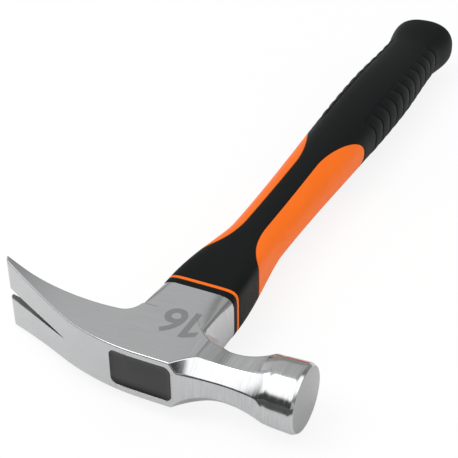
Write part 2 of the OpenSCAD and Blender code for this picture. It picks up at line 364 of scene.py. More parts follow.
def net_surface(solid: Callable[[Array], Array], low: Array, high: Array, step: Array) -> tuple[Array, Array]:
    """Skins a solid with square faces, one corner in each grid cell that its surface crosses.

    Args:
        solid: Distance to the solid for rows of points.
        low: Lowest corner of the grid.
        high: Highest corner of the grid.
        step: Spacing of the grid along each axis.

    Returns:
        Corners, and four corner numbers for each face.
    """
    counts = np.ceil((high - low) / step).astype(int) + 1
    axes = [low[k] + step[k] * np.arange(counts[k]) for k in range(3)]
    plane = np.stack(np.meshgrid(axes[1], axes[2], indexing="ij"), -1).reshape(-1, 2)
    value = np.empty(counts)
    for i, x in enumerate(axes[0]):
        value[i] = solid(np.column_stack([np.full(len(plane), x), plane])).reshape(counts[1:])
    inside = value < 0
    offsets = np.array([[i, j, k] for i in (0, 1) for j in (0, 1) for k in (0, 1)])
    shape = counts - 1
    wide, deep, tall = shape
    parts = [inside[i:i + wide, j:j + deep, k:k + tall] for i, j, k in offsets]
    filled = sum(part.astype(np.int8) for part in parts)
    cells = np.argwhere((filled > 0) & (filled < len(offsets)))
    number = np.full(shape, -1)
    number[tuple(cells.T)] = np.arange(len(cells))
    total = np.zeros((len(cells), 3))
    crossings = np.zeros(len(cells))
    for a in offsets:
        for axis in range(3):
            if a[axis]:
                continue
            b = a + np.eye(3, dtype=int)[axis]
            va = value[tuple((cells + a).T)]
            vb = value[tuple((cells + b).T)]
            hit = (va < 0) != (vb < 0)
            share = np.where(hit, va / np.where(hit, va - vb, 1), 0)
            total += np.where(hit[:, None], a + share[:, None] * (b - a), 0)
            crossings += hit
    points = low + step * (cells + total / crossings[:, None])
    faces = []
    for axis in range(3):
        first = np.take(inside, range(counts[axis] - 1), axis)
        second = np.take(inside, range(1, counts[axis]), axis)
        edges = np.argwhere(first != second)
        one, two = np.roll(np.eye(3, dtype=int), -axis - 1, 0)[:2]
        around = (one + two, two, 0 * one, one)
        quad = np.stack([number[tuple((edges - shift).T)] for shift in around], 1)
        leaving = first[tuple(edges.T)]
        faces.append(np.where(leaving[:, None], quad, quad[:, ::-1]))
    return points, np.concatenate(faces)


def slope(solid: Callable[[Array], Array], points: Array, reach: float = 0.02) -> Array:
    """Direction in which the distance to a solid grows fastest, for rows of points."""
    steps = np.eye(3) * reach
    return np.stack([solid(points + s) - solid(points - s) for s in steps], 1) / (2 * reach)


def pull_to(solid: Callable[[Array], Array], points: Array, limit: float, rounds: int = 3) -> Array:
    """Moves points on to a solid's surface, by at most a limit in each round.

    Args:
        solid: Distance to the solid for rows of points.
        points: Where the points start.
        limit: Longest move in one round.
        rounds: Number of rounds.

    Returns:
        The moved points.
    """
    for _ in range(rounds):
        rise = slope(solid, points)
        move = solid(points)[:, None] * rise / np.maximum((rise**2).sum(1), 1e-6)[:, None]
        length = np.linalg.norm(move, axis=1, keepdims=True)
        points = points - move * np.minimum(1, limit / np.maximum(length, TINY))
    return points


# Nodes


def maths(operation: str) -> Callable[["Socket", "Socket | float"], "Socket"]:
    """An operator of sockets that adds a Math node.

    Args:
        operation: Blender's name of the operation.

    Returns:
        The operator.
    """

    def operator(self: "Socket", other: "Socket | float") -> "Socket":
        """Adds the node."""
        return self.math(operation, other)

    return operator


class Socket:
    """A node's output that takes part in Python arithmetic by adding Math nodes."""

    def __init__(self, sheet: "NodeSheet", socket: bpy.types.NodeSocket) -> None:
        """Wraps an output of a node in a sheet."""
        self.sheet = sheet
        self.socket = socket

    def math(self, operation: str, *others: "Socket | float") -> "Socket":
        """Adds a Math node with this socket first."""
        values = {i: v for i, v in enumerate((self, *others))}
        return self.sheet.node("ShaderNodeMath", {"operation": operation}, values)

    def sibling(self, name: str) -> "Socket":
        """Another output of the same node."""
        return Socket(self.sheet, self.sheet.find(self.socket.node.outputs, name))

    __add__ = __radd__ = maths("ADD")
    __mul__ = __rmul__ = maths("MULTIPLY")
    __sub__ = maths("SUBTRACT")
    __truediv__ = maths("DIVIDE")

    def __rsub__(self, other: "Socket | float") -> "Socket":
        """Difference from a number."""
        return (self * -1) + other

    def __abs__(self) -> "Socket":
        """Size without sign."""
        return self.math("ABSOLUTE")

    def eased(self, low: "Socket | float", high: "Socket | float") -> "Socket":
        """Runs smoothly from 0 at low to 1 at high."""
        values = {0: self, 1: low, 2: high, 3: 0.0, 4: 1.0}
        return self.sheet.node("ShaderNodeMapRange", {"interpolation_type": "SMOOTHSTEP"}, values)

    def swing(self, reach: "Socket | float") -> "Socket":
        """Noise from 0 to 1 made to swing about zero, over a reach."""
        return (self - MIDDLE) * reach

    def blend(self, other: "Socket | float", share: "Socket") -> "Socket":
        """This value where share is 0 and the other where it is 1."""
        return self + share * (other - self)


class NodeSheet:
    """A node tree that is filled by short calls."""

    def __init__(self, tree: bpy.types.NodeTree) -> None:
        """Starts on an emptied tree."""
        self.tree = tree
        tree.nodes.clear()

    @staticmethod
    def find(sockets: bpy.types.bpy_prop_collection, key: str | int) -> bpy.types.NodeSocket:
        """A socket by its number, identifier or name.

        Args:
            sockets: A node's inputs or outputs.
            key: What to look for.

        Returns:
            The socket.
        """
        if isinstance(key, int):
            return sockets[key]
        return next((s for s in sockets if s.identifier == key), None) or sockets[key]

    def node(
        self, kind: str, settings: dict | None = None, inputs: dict | None = None, out: str | int = 0
    ) -> Socket | None:
        """Adds a node.

        Args:
            kind: Blender's name of the node's type.
            settings: The node's own properties, set first.
            inputs: Sockets to link or values to set, by number, identifier or name.
            out: Which output to hand back.

        Returns:
            The output, or None for a node without one.
        """
        node = self.tree.nodes.new(kind)
        for key, value in (settings or {}).items():
            setattr(node, key, value)
        for key, value in (inputs or {}).items():
            target = self.find(node.inputs, key)
            if isinstance(value, Socket):
                self.tree.links.new(value.socket, target)
            else:
                target.default_value = value
        return Socket(self, self.find(node.outputs, out)) if node.outputs else None

    def stored(self, name: str, out: str = "Fac") -> Socket:
        """An attribute that the mesh carries."""
        return self.node("ShaderNodeAttribute", {"attribute_name": name}, out=out)

    def rays(self) -> tuple[Socket, Socket]:
        """Whether a ray comes from the camera, and whether from a mirroring or clear surface."""
        camera = self.node("ShaderNodeLightPath", out="Is Camera Ray")
        return camera, camera.sibling("Is Glossy Ray").math("MAXIMUM", camera.sibling("Is Transmission Ray"))

    def place(self) -> Socket:
        """Object coordinates in millimetres."""
        where = self.node("ShaderNodeTexCoord", out="Object")
        return self.node("ShaderNodeVectorMath", {"operation": "SCALE"}, {0: where, "Scale": 1 / MM})

    def stretch(self, vector: Socket, scale: Triple) -> Socket:
        """A vector multiplied part by part."""
        return self.node("ShaderNodeVectorMath", {"operation": "MULTIPLY"}, {0: vector, 1: scale})

    def noise(self, vector: Socket, scale: float, detail: float = 2.0, roughness: float = 0.5) -> Socket:
        """Noise from 0 to 1, with one lump about every 1/scale."""
        values = {"Vector": vector, "Scale": scale, "Detail": detail, "Roughness": roughness}
        return self.node("ShaderNodeTexNoise", None, values)

    def tint(self, share: Socket, a: Triple | Socket, b: Triple | Socket) -> Socket:
        """Colour a where share is 0 and colour b where it is 1.

        Args:
            share: Share of the second colour.
            a: First colour.
            b: Second colour.

        Returns:
            The colour.
        """
        colours = {"A_Color": a, "B_Color": b}
        values = {key: v if isinstance(v, Socket) else (*v, 1.0) for key, v in colours.items()}
        values["Factor_Float"] = share
        return self.node("ShaderNodeMix", {"data_type": "RGBA"}, values, out="Result_Color")

    def bump(self, height: Socket, depth: float) -> Socket:
        """A normal bent by a height from 0 to 1 that stands for a depth in millimetres."""
        values = {"Strength": 1.0, "Distance": depth * MM, "Height": height}
        return self.node("ShaderNodeBump", None, values, out="Normal")

    def surface(self, **inputs: "Socket | float | tuple") -> None:
        """Ends a material's tree with a Principled shader.

        Args:
            inputs: The shader's inputs, named in small letters with underscores.
        """
        named = {key.replace("_", " ").title().replace("Ior", "IOR"): value for key, value in inputs.items()}
        shader = self.node("ShaderNodeBsdfPrincipled", None, named, out="BSDF")
        self.node("ShaderNodeOutputMaterial", None, {"Surface": shader})


def new_material(name: str) -> tuple[bpy.types.Material, NodeSheet]:
    """A material with an empty node tree, and that tree's sheet.

    Args:
        name: Name of the material.

    Returns:
        The material and the sheet.
    """
    material = bpy.data.materials.new(name)
    material.use_nodes = True
    return material, NodeSheet(material.node_tree)


# Finishes


@dataclass(frozen=True)
class Finish:
    """What every finish has.

    Attributes:
        name: Name of the material.
        colour: Main colour, linear.
        rough: Mean roughness.
    """

    name: str
    colour: Triple
    rough: float

    def material(self) -> bpy.types.Material:
        """The finished material, made once.

        Returns:
            The material.
        """
        made = bpy.data.materials.get(self.name)
        if not made:
            made, sheet = new_material(self.name)
            self.paint(sheet)
        return made

    def paint(self, sheet: NodeSheet) -> None:
        """Fills the material's tree."""
        raise NotImplementedError

    def shade(self, factor: float) -> Triple:
        """The main colour, lighter or darker."""
        return tuple(c * factor for c in self.colour)

    def varied(self, sheet: NodeSheet, share: Socket, dark: float, pale: float) -> Socket:
        """The main colour, between a darker shade where share is 0 and a paler one where it is 1."""
        return sheet.tint(share, self.shade(dark), self.shade(pale))


@dataclass(frozen=True)
class SteelCauses:
    """How far each cause moves a value of the steel.

    Attributes:
        lines: Brush lines.
        cloud: Wide clouding.
        fine: Fine grain.
        edge: Worn edges.
        dull: Unpolished places and painted shade: the slot walls, the eye's rim and the striking face.
    """

    lines: float
    cloud: float
    fine: float
    edge: float
    dull: float = 0.0


@dataclass(frozen=True)
class BrushedSteel(Finish):
    """Ground and brushed forging steel, whose lines follow the stored grain of each face.

    Attributes:
        gloss: What moves the roughness.
        tone: What moves the tone.
        line_spread: How often the lines change across and along the grain.
        line_depth: Depth of the brush lines, in millimetres.
        fine_depth: Share of that depth for the fine grain.
        dull_and_painted_shade: Shade of the unpolished places, which also paints shade into the eye's rim and
            the face.
    """

    gloss: SteelCauses = SteelCauses(lines=0.3, cloud=0.16, fine=0.1, edge=-0.06, dull=0.2)
    tone: SteelCauses = SteelCauses(lines=1.5, cloud=0.3, fine=0.3, edge=0.1)
    line_spread: Triple = (1.4, 0.07, 0.0)
    line_depth: float = 0.012
    fine_depth: float = 0.12
    dull_and_painted_shade: float = 0.3

    def paint(self, sheet: NodeSheet) -> None:
        """Lines across the grain, faint clouding, paler edges, and darker slot walls, eye rim and face:
        partly unpolished steel, partly painted shade.

        Args:
            sheet: The material's tree.
        """
        grain = sheet.stored("grain", "Vector")
        strength = sheet.node("ShaderNodeSeparateXYZ", None, {0: grain}, out="Z")
        # The slot attribute holds unpolished slot walls and painted shade at the eye's rim and on the
        # striking face.
        edge, dull = sheet.stored("edge"), sheet.stored("slot")
        place = sheet.place()
        lines = sheet.noise(sheet.stretch(grain, self.line_spread), scale=1.0, detail=3.0, roughness=0.65)
        fine = sheet.noise(place, scale=4.0, detail=3.0, roughness=0.65)
        cloud = sheet.noise(place, scale=0.09, detail=3.0, roughness=0.55)
        marks = lines.swing(strength)

        def moved(by: SteelCauses, base: float) -> Socket:
            """A value that every cause moves from its base."""
            grown = marks * by.lines + cloud.swing(by.cloud) + fine.swing(by.fine) + edge * by.edge
            return grown + dull * by.dull + base

        polished = self.varied(sheet, moved(self.tone, MIDDLE), dark=0.8, pale=1.2)
        sheet.surface(
            # Base colour darkened where the slot attribute is set: partly unpolished steel, partly painted
            # shade.
            base_color=sheet.tint(dull, polished, self.shade(self.dull_and_painted_shade)),
            metallic=1.0,
            roughness=moved(self.gloss, self.rough),
            normal=sheet.bump(marks + fine * self.fine_depth, self.line_depth),
        )


@dataclass(frozen=True)
class EtchedSteel(Finish):
    """Steel dulled by etching, as in a weight mark."""

    def paint(self, sheet: NodeSheet) -> None:
        """Fine dull grain.

        Args:
            sheet: The material's tree.
        """
        grain = sheet.noise(sheet.place(), scale=6.0, detail=2.0)
        sheet.surface(
            base_color=self.varied(sheet, grain, dark=0.85, pale=1.15),
            metallic=0.9,
            roughness=grain.swing(reach=0.2) + self.rough,
            normal=sheet.bump(grain, depth=0.01),
        )


@dataclass(frozen=True)
class CastEpoxy(Finish):
    """Dark filled resin that has set in the eye.

    Attributes:
        low_edge: Height at which the painted shade along the lower edge begins, in millimetres.
        low_band: How far the painted shade takes to fade, in millimetres.
        painted_low_shade: Colour share of the painted shade along the lower edge of the recessed fill.
    """

    low_edge: float = 9.5
    low_band: float = 3.0
    painted_low_shade: float = 0.25

    def paint(self, sheet: NodeSheet) -> None:
        """Soft clouding, a faint skin and painted shade along the lower edge.

        Args:
            sheet: The material's tree.
        """
        place = sheet.place()
        height = sheet.node("ShaderNodeSeparateXYZ", None, {0: place}, out="Z")
        cloud = sheet.noise(place, scale=0.35, detail=3.0)
        skin = sheet.noise(place, scale=1.4, detail=3.0, roughness=0.6)
        resin = self.varied(sheet, cloud, dark=0.75, pale=1.3)
        # Painted shade: darker towards the lower edge of the recessed fill.
        above = height.eased(self.low_edge, self.low_edge + self.low_band)
        sheet.surface(
            base_color=sheet.tint(above, self.shade(self.painted_low_shade), resin),
            roughness=skin.swing(reach=0.2) + self.rough,
            normal=sheet.bump(skin, depth=0.05),
        )


@dataclass(frozen=True)
class SoftRubber(Finish):
    """Moulded thermoplastic rubber with a fine matt grain."""

    def paint(self, sheet: NodeSheet) -> None:
        """Fine spark-eroded grain with faint clouding and handling marks.

        Args:
            sheet: The material's tree.
        """
        place = sheet.place()
        grain = sheet.noise(place, scale=2.6, detail=2.0, roughness=0.6)
        cloud = sheet.noise(place, scale=0.06, detail=3.0, roughness=0.6)
        tone = cloud.swing(reach=0.7) + grain.swing(reach=0.5) + MIDDLE
        sheet.surface(
            base_color=self.varied(sheet, tone, dark=0.7, pale=1.35),
            roughness=cloud.swing(reach=0.16) + grain.swing(reach=0.1) + self.rough,
            specular_ior_level=0.08,
            normal=sheet.bump(grain, depth=0.05),
        )


@dataclass(frozen=True)
class SatinPlastic(Finish):
    """Injection-moulded plastic with a satin skin.

    Attributes:
        flow_spread: How often the clouding changes across and along the handle.
    """

    flow_spread: Triple = (1.0, 0.25, 1.0)

    def paint(self, sheet: NodeSheet) -> None:
        """Slight flow clouding along the handle and a very fine skin.

        Args:
            sheet: The material's tree.
        """
        place = sheet.place()
        flow = sheet.noise(sheet.stretch(place, self.flow_spread), scale=0.12, detail=3.0, roughness=0.55)
        skin = sheet.noise(place, scale=3.0, detail=2.0, roughness=0.55)
        sheet.surface(
            base_color=self.varied(sheet, flow, dark=0.93, pale=1.05),
            roughness=skin.swing(reach=0.12) + flow.swing(reach=0.08) + self.rough,
            specular_ior_level=0.1,
            normal=sheet.bump(skin, depth=0.012),
        )


@dataclass(frozen=True)
class GlassRod(Finish):
    """Pultruded glass-fibre rod with its fibres along the handle.

    Attributes:
        fibre_spread: How often the fibres change across and along the handle.
    """

    fibre_spread: Triple = (6.0, 0.04, 6.0)

    def paint(self, sheet: NodeSheet) -> None:
        """Long fibres in amber resin.

        Args:
            sheet: The material's tree.
        """
        along = sheet.stretch(sheet.place(), self.fibre_spread)
        fibre = sheet.noise(along, scale=1.0, detail=3.0, roughness=0.6)
        sheet.surface(
            base_color=self.varied(sheet, fibre, dark=0.7, pale=1.25),
            roughness=fibre.swing(reach=0.2) + self.rough,
            normal=sheet.bump(fibre, depth=0.03),
        )


STEEL = BrushedSteel("brushed_steel", (0.5, 0.505, 0.51), 0.16)
ETCHED = EtchedSteel("etched_steel", (0.3, 0.305, 0.31), 0.5)
EPOXY = CastEpoxy("cast_epoxy", (0.017, 0.017, 0.0165), 0.42)
RUBBER = SoftRubber("soft_rubber", (0.004, 0.0049, 0.0051), 0.5)
ORANGE = SatinPlastic("satin_orange", (0.92, 0.162, 0.008), 0.4)
FIBREGLASS = GlassRod("glass_rod", (0.62, 0.46, 0.2), 0.4)


def fit_out(piece: bpy.types.Object, finish: Finish, slot: Slot, *nodes: str) -> bpy.types.Object:
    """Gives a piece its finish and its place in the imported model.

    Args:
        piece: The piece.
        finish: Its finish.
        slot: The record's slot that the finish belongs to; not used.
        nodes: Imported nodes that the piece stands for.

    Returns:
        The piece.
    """
    piece.data.materials.clear()
    piece.data.materials.append(finish.material())
    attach(piece, "root")
    if nodes:
        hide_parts(*nodes)
    log.info("%s: %d faces, %s", piece.name, len(piece.data.polygons), finish.name)
    return piece


# Sub-assemblies


@dataclass(frozen=True)
class ForgedHead:
    """The forged head: claw, cheeks, socket, octagonal neck, bell and eye.

    Sizes are in millimetres. A lean is the part of a normal beyond which a face counts as turned that way.
    A grain, or a share of dulling and painted shade, runs from 0 to 1.
    """

    claw_reach: float = 75.4
    tip_half_width: float = 16.6
    tip_thickness: float = 2.2
    tip_bevel: float = 2.2
    tip_edge: float = 0.5
    tip_blend: float = 20.0
    rake: float = math.radians(24.2)
    bend_radius: float = 100.0
    root_depth: float = 22.2
    underside_hollow: float = 2.5
    claw_fillet: float = 6.2
    slot_root: float = 38.0
    slot_half: Pair = (1.15, 1.35)
    slot_edge: float = 0.2
    slot_undercut: float = 0.4
    undercut_blend: float = 15.0
    tine_inner_corner: float = 2.0
    tine_outer_corner: float = 1.5
    half_cheek: float = 10.6
    half_socket: float = 14.1
    socket_lead: float = 2.0
    half_socket_end: float = 15.9
    socket_end_shift: float = 1.3
    socket_squareness: float = 5.5
    socket_depth: float = 45.4
    socket_corner: float = 5.0
    cheek_corner: float = 1.0
    front_corner: float = 1.8
    front_fillet: float = 1.2
    fillet_blend: float = 1.5
    hook_round: float = 3.0
    hook_inset: float = 1.2
    hook_run: float = 6.0
    web_overlap: float = 5.0
    edge: float = 0.45
    claw_edge: float = 0.25
    claw_edge_start: float = 25.0
    claw_corner: float = 1.1
    claw_lead: float = 4.0
    claw_blend: float = 8.0
    crisp_end: float = 29.0
    eye_top: Pair = (26.2, 15.6)
    eye_low: Pair = (21.6, 14.8)
    eye_corner: float = 2.7
    eye_edge: float = 0.1
    # Painted shade round the eye's rim: how far it reaches and how far it fades.
    eye_rim_painted_shade: Pair = (0.25, 0.2)
    face_reach: float = FACE_REACH
    face_crown: float = 0.35
    bell_radius: float = 13.55
    bell_back_radius: float = 13.0
    bell_length: float = 15.0
    shoulder_length: float = 2.0
    shoulder_height: float = 1.1
    shoulder_round: float = 2.2
    bevel_length: float = 2.0
    bevel_height: float = 1.1
    bevel_edge: float = 0.3
    bell_depth: float = 14.4
    waist_reach: float = 31.0
    stem_overlap: float = 2.5
    neck_edge: float = 0.3
    neck_top: float = 10.1
    neck_under: float = 10.0
    neck_half_width: float = 8.9
    neck_upper_corner: float = 10.0
    neck_lower_corner: float = 8.2
    top_hollow: Pair = (30.0, 50.0)
    under_hollow: Pair = (21.0, 21.0)
    side_hollow: Pair = (33.0, 45.0)
    flat_crown: float = 45.0
    upper_hollow: Pair = (25.5, 51.0)
    lower_hollow: Pair = (28.0, 28.0)
    # Striking face darker: partly a duller finish, partly painted shade.
    face_dull_and_shade: float = 0.5
    face_lean: float = 0.85
    face_rim: float = 1.0
    face_grain: float = 0.25
    face_swirl: float = 4.0
    cheek_lean: float = 0.6
    cheek_grain: float = 0.3
    front_lean: float = 0.7
    front_run: float = 6.0
    front_grain: float = 0.8
    neck_lead: float = 2.0
    wall_lean: float = 0.5
    wall_reach: float = 2.0
    wall_fade: float = 0.5
    edge_bend: float = 0.15
    mesh_step: float = 0.3
    mesh_share: float = 0.4

    def claw_top(self, reach: float) -> float:
        """Depth of the claw's straight top at a distance from the middle of the eye."""
        start = self.bend_radius * (1 - math.cos(self.rake))
        return start + (reach - self.bend_radius * math.sin(self.rake)) * math.tan(self.rake)

    def top_line(self, x: Array, y: Array) -> Array:
        """Distance above the top of the head: level, then a bend, the straight claw and its bevelled tips.

        Args:
            x: Places towards the striking face.
            y: Depths below the top of the head.

        Returns:
            Distance, negative inside.
        """
        radius, rake = self.bend_radius, self.rake
        start_x = -radius * math.sin(rake)
        start_y = radius * (1 - math.cos(rake))
        bend = np.hypot(x, y - radius) - radius
        straight = -(x - start_x) * math.sin(rake) - (y - start_y) * math.cos(rake)
        turned = np.arctan2(-x, radius - y)
        line = np.where(x > 0, -y, np.where(turned < rake, bend, straight))
        tip_y = self.claw_top(self.claw_reach) + self.tip_thickness
        run, drop = self.tip_bevel, tip_y - self.claw_top(self.claw_reach - self.tip_bevel)
        bevel = -((x + self.claw_reach) * drop + (y - tip_y) * run) / math.hypot(run, drop)
        return meet(line, bevel, self.tip_edge)

    def claw_under(self, x: Array, y: Array) -> Array:
        """Distance below the hollowed underside of the claw.

        Args:
            x: Places towards the striking face.
            y: Depths below the top of the head.

        Returns:
            Distance, negative inside.
        """
        root = -self.half_socket - self.claw_fillet
        tip_y = self.claw_top(self.claw_reach) + self.tip_thickness
        span = -self.claw_reach - root
        t = (x - root) / span
        middle = (self.root_depth + tip_y) / 2 - 2 * self.underside_hollow
        line = (1 - t) ** 2 * self.root_depth + 2 * t * (1 - t) * middle + t**2 * tip_y
        lean = (2 * (t - 1) * self.root_depth + (2 - 4 * t) * middle + 2 * t * tip_y) / span
        return (y - line) / np.sqrt(1 + lean**2)

    def plan(self, x: Array, z: Array) -> Array:
        """Distance to the head seen from its top: cheeks and flared tines.

        Args:
            x: Places towards the striking face.
            z: Heights from the middle plane.

        Returns:
            Distance, negative inside.
        """
        flare_start = -self.half_socket - self.claw_fillet
        t = np.maximum((x - flare_start) / (-self.claw_reach - flare_start), 0)
        flare = self.tip_half_width - self.half_cheek
        lean = 2 * flare * t / (self.claw_reach + flare_start)
        sides = (np.abs(z) - self.half_cheek - flare * t**2) / np.sqrt(1 + lean**2)
        return meet(-self.claw_reach - x, sides, self.tine_outer_corner)

    def slot_side(self, x: Array, z: Array) -> Array:
        """Distance to the nail slot, which opens at its root, runs nearly level and flares at its mouth.

        Args:
            x: Places towards the striking face.
            z: Heights from the middle plane.

        Returns:
            Distance, negative inside.
        """
        span = self.claw_reach - self.tine_inner_corner - self.slot_root
        t = np.minimum((-x - self.slot_root) / span, 1)
        body, flare = self.slot_half
        half = np.where(t > 0, body * (1 - (1 - t) ** 3) + flare * t**3, 3 * body * t)
        lean = np.where(t > 0, 3 * body * (1 - t) ** 2 + 3 * flare * t**2, 3 * body) / span
        return (np.abs(z) - half) / np.hypot(1, lean)

    def beside_slot(self, x: Array, z: Array) -> Array:
        """Distance to what the nail slot leaves, with the tines' inner corners rounded."""
        return meet(-self.claw_reach - x, -self.slot_side(x, z), self.tine_inner_corner)

    def socket_share(self, y: Array) -> Array:
        """How far along the socket each depth lies, from 0 at the cheeks to 1 at the collar."""
        return clamp((y - self.root_depth) / (self.socket_depth - self.root_depth))

    def socket(self, x: Array, y: Array, z: Array) -> Array:
        """Distance to the socket, which rounds off and spreads from the cheeks to the collar.

        Args:
            x: Places towards the striking face.
            y: Depths below the top of the head.
            z: Heights from the middle plane.

        Returns:
            Distance, negative inside.
        """
        corner = np.where(x > 0, self.front_corner, self.cheek_corner)
        lead = self.socket_lead / 2
        block = rounded_box(x - lead, z, self.half_socket + lead, self.half_cheek, corner)
        shifted = x - self.socket_end_shift
        end = rounded_oval(shifted, z, self.half_socket_end, self.half_cheek, self.socket_squareness)
        ends = np.maximum(self.root_depth / 2 - y, y - self.socket_depth)
        return np.maximum(block + (end - block) * self.socket_share(y), ends)

    def socket_front(self, y: Array) -> Array:
        """How far the socket reaches towards the bell at each depth."""
        start = self.half_socket + self.socket_lead
        return start + (self.half_socket_end + self.socket_end_shift - start) * self.socket_share(y)

    def corner_at(self, y: Array) -> Array:
        """Radius of the upright edges, crisp at the cheeks and soft at the socket's end."""
        t = clamp((y - self.crisp_end) / (self.socket_depth - self.crisp_end))
        return self.edge + (self.socket_corner - self.edge) * t

    def neck_flats(self, x: Array, y: Array, z: Array) -> list[Array]:
        """Distances into the eight wheel-shaped hollows, tighter towards the cheeks, that make the neck.

        Args:
            x: Places towards the striking face.
            y: Depths below the top of the head.
            z: Heights from the middle plane.

        Returns:
            One distance for each flat, from the top one round.
        """
        top, under = (self.neck_top, self.top_hollow), (self.neck_under, self.under_hollow)
        side = (self.neck_half_width, self.side_hollow)
        upper = (self.neck_upper_corner, self.upper_hollow)
        lower = (self.neck_lower_corner, self.lower_hollow)
        sizes = (top, upper, side, lower, under, lower, side, upper)
        flats = []
        for eighth, (flat, hollow) in enumerate(sizes):
            turn = math.radians(360 / len(sizes) * eighth)
            out = (self.bell_depth - y) * math.cos(turn) + z * math.sin(turn)
            if hollow is self.upper_hollow:
                beside = z * math.cos(turn) - (self.bell_depth - y) * math.sin(turn)
                out = out + beside**2 / (2 * self.flat_crown)
            radius = np.where(x < self.waist_reach, *hollow)
            flats.append(radius - np.hypot(x - self.waist_reach, out - flat - radius))
        return flats

    def bell(self, x: Array, y: Array, z: Array) -> Array:
        """Distance to the bell with its shoulder, bevel and slightly crowned face.

        Args:
            x: Places towards the striking face.
            y: Depths below the top of the head.
            z: Heights from the middle plane.

        Returns:
            Distance, negative inside.
        """
        radial = np.hypot(y - self.bell_depth, z)
        back = self.face_reach - self.bell_length - self.shoulder_length
        inner = self.bell_back_radius - self.shoulder_height
        cone = (radial - inner) * self.shoulder_length - (x - back) * self.shoulder_height
        cone = cone / math.hypot(self.shoulder_length, self.shoulder_height)
        bevel_start = self.face_reach - self.bevel_length
        spread = (self.bell_radius - self.bell_back_radius) / (self.bell_length - self.bevel_length)
        side = radial - self.bell_radius - spread * (x - bevel_start)
        bevel = (radial - self.bell_radius) * self.bevel_length + (x - bevel_start) * self.bevel_height
        bevel = bevel / math.hypot(self.bevel_length, self.bevel_height)
        face = x - self.face_reach + self.face_crown * (radial / self.bell_radius) ** 2
        body = meet(side, cone, self.shoulder_round)
        body = meet(body, bevel, self.bevel_edge)
        body = meet(body, face, self.bevel_edge)
        return np.maximum(body, back - x)

    def eye(self, x: Array, y: Array, z: Array) -> Array:
        """Distance to the tapered eye.

        Args:
            x: Places towards the striking face.
            y: Depths below the top of the head.
            z: Heights from the middle plane.

        Returns:
            Distance, negative inside.
        """
        t = y / self.socket_depth
        half = [(a + (b - a) * t) / 2 for a, b in zip(self.eye_top, self.eye_low)]
        return rounded_box(x, z, half[0], half[1], self.eye_corner)

    def side_view(self, x: Array, y: Array, under: Array) -> Array:
        """Distance to the head seen from its cheek: claw, shank, the neck's web and the socket's front.

        Args:
            x: Places towards the striking face.
            y: Depths below the top of the head.
            under: Distances into the hollow under the neck.

        Returns:
            Distance, negative inside.
        """
        claw = np.maximum(self.claw_under(x, y), x + self.half_socket / 2)
        shank = np.maximum(np.abs(x) - self.half_socket, y - self.root_depth - self.claw_fillet)
        profile = join(claw, shank, self.claw_fillet)
        under_neck = self.bell_depth + self.neck_under + self.under_hollow[0]
        web = between(x, self.half_socket - self.web_overlap, self.waist_reach)
        profile = np.minimum(profile, np.maximum(np.maximum(web, y - under_neck), under))
        ends = np.maximum(self.root_depth / 2 - y, y - self.crisp_end - self.hook_run)
        front = np.maximum(between(x, 0, self.socket_front(y) - self.hook_inset), ends)
        return join(profile, front, self.hook_round)

    def blank(self, x: Array, y: Array, z: Array, under: Array) -> Array:
        """Distance to the forging before its neck is hollowed, with rounded edges.

        Args:
            x: Places towards the striking face.
            y: Depths below the top of the head.
            z: Heights from the middle plane.
            under: Distances into the hollow under the neck.

        Returns:
            Distance, negative inside.
        """
        on_claw = smooth((self.claw_lead - x - self.half_socket) / self.claw_blend)
        on_claw = on_claw * smooth((x + self.claw_reach) / self.tip_blend)
        corner = self.corner_at(y) + self.claw_corner * on_claw
        outline = meet(self.side_view(x, y, under), self.plan(x, z), corner)
        edge = self.edge + self.claw_edge * smooth((-x - self.claw_edge_start) / self.tip_blend)
        return meet(self.top_line(x, y), outline, edge)

    def necked(self, x: Array, y: Array, z: Array) -> Array:
        """Distance to the forging with its octagonal neck.

        Args:
            x: Places towards the striking face.
            y: Depths below the top of the head.
            z: Heights from the middle plane.

        Returns:
            Distance, negative inside.
        """
        flats = self.neck_flats(x, y, z)
        under = flats.pop(len(flats) // 2)
        bell_back = self.face_reach - self.bell_length
        stem = np.hypot(y - self.bell_depth, z) - self.bell_back_radius
        stem = np.maximum(stem, between(x, self.waist_reach, bell_back) - self.stem_overlap)
        neck = np.minimum(self.blank(x, y, z, under), meet(stem, under, self.neck_edge))
        for flat in flats:
            neck = meet(neck, flat, self.neck_edge)
        return neck

    def distance(self, points: Array) -> Array:
        """Distance to the whole head.

        Args:
            points: Points, one row each.

        Returns:
            Distance, negative inside.
        """
        x, y, z = points.T
        fillet = self.front_fillet * smooth((x - self.half_socket) / self.fillet_blend)
        fillet = fillet * smooth((self.half_cheek - np.abs(z)) / self.fillet_blend)
        head = join(self.necked(x, y, z), self.socket(x, y, z), fillet)
        head = np.minimum(head, self.bell(x, y, z))
        undercut = self.slot_undercut * smooth((x + self.claw_reach) / self.undercut_blend)
        undercut = undercut * np.minimum(self.top_line(x, y), 0)
        head = meet(head, self.beside_slot(x, z + np.sign(z) * undercut), self.slot_edge)
        return meet(head, -self.eye(x, y, z), self.eye_edge)

    def build(self) -> bpy.types.Object:
        """Skins the head, thins the flat parts and stores the brush direction.

        Returns:
            The head.
        """
        step = np.full(3, self.mesh_step)
        low = np.array([-self.claw_reach, 0, -self.tip_half_width]) - 2 * step
        high = np.array([self.face_reach, self.socket_depth, self.tip_half_width]) + 2 * step
        points, faces = net_surface(self.distance, low, high, step)
        points = pull_to(self.distance, points, self.mesh_step)
        piece = link("hammer_head_forged", make_mesh("hammer_head_forged", points, faces))
        thin = piece.modifiers.new("thin", "DECIMATE")
        thin.ratio = self.mesh_share
        settle(piece)
        self.finish_mesh(piece.data)
        return piece

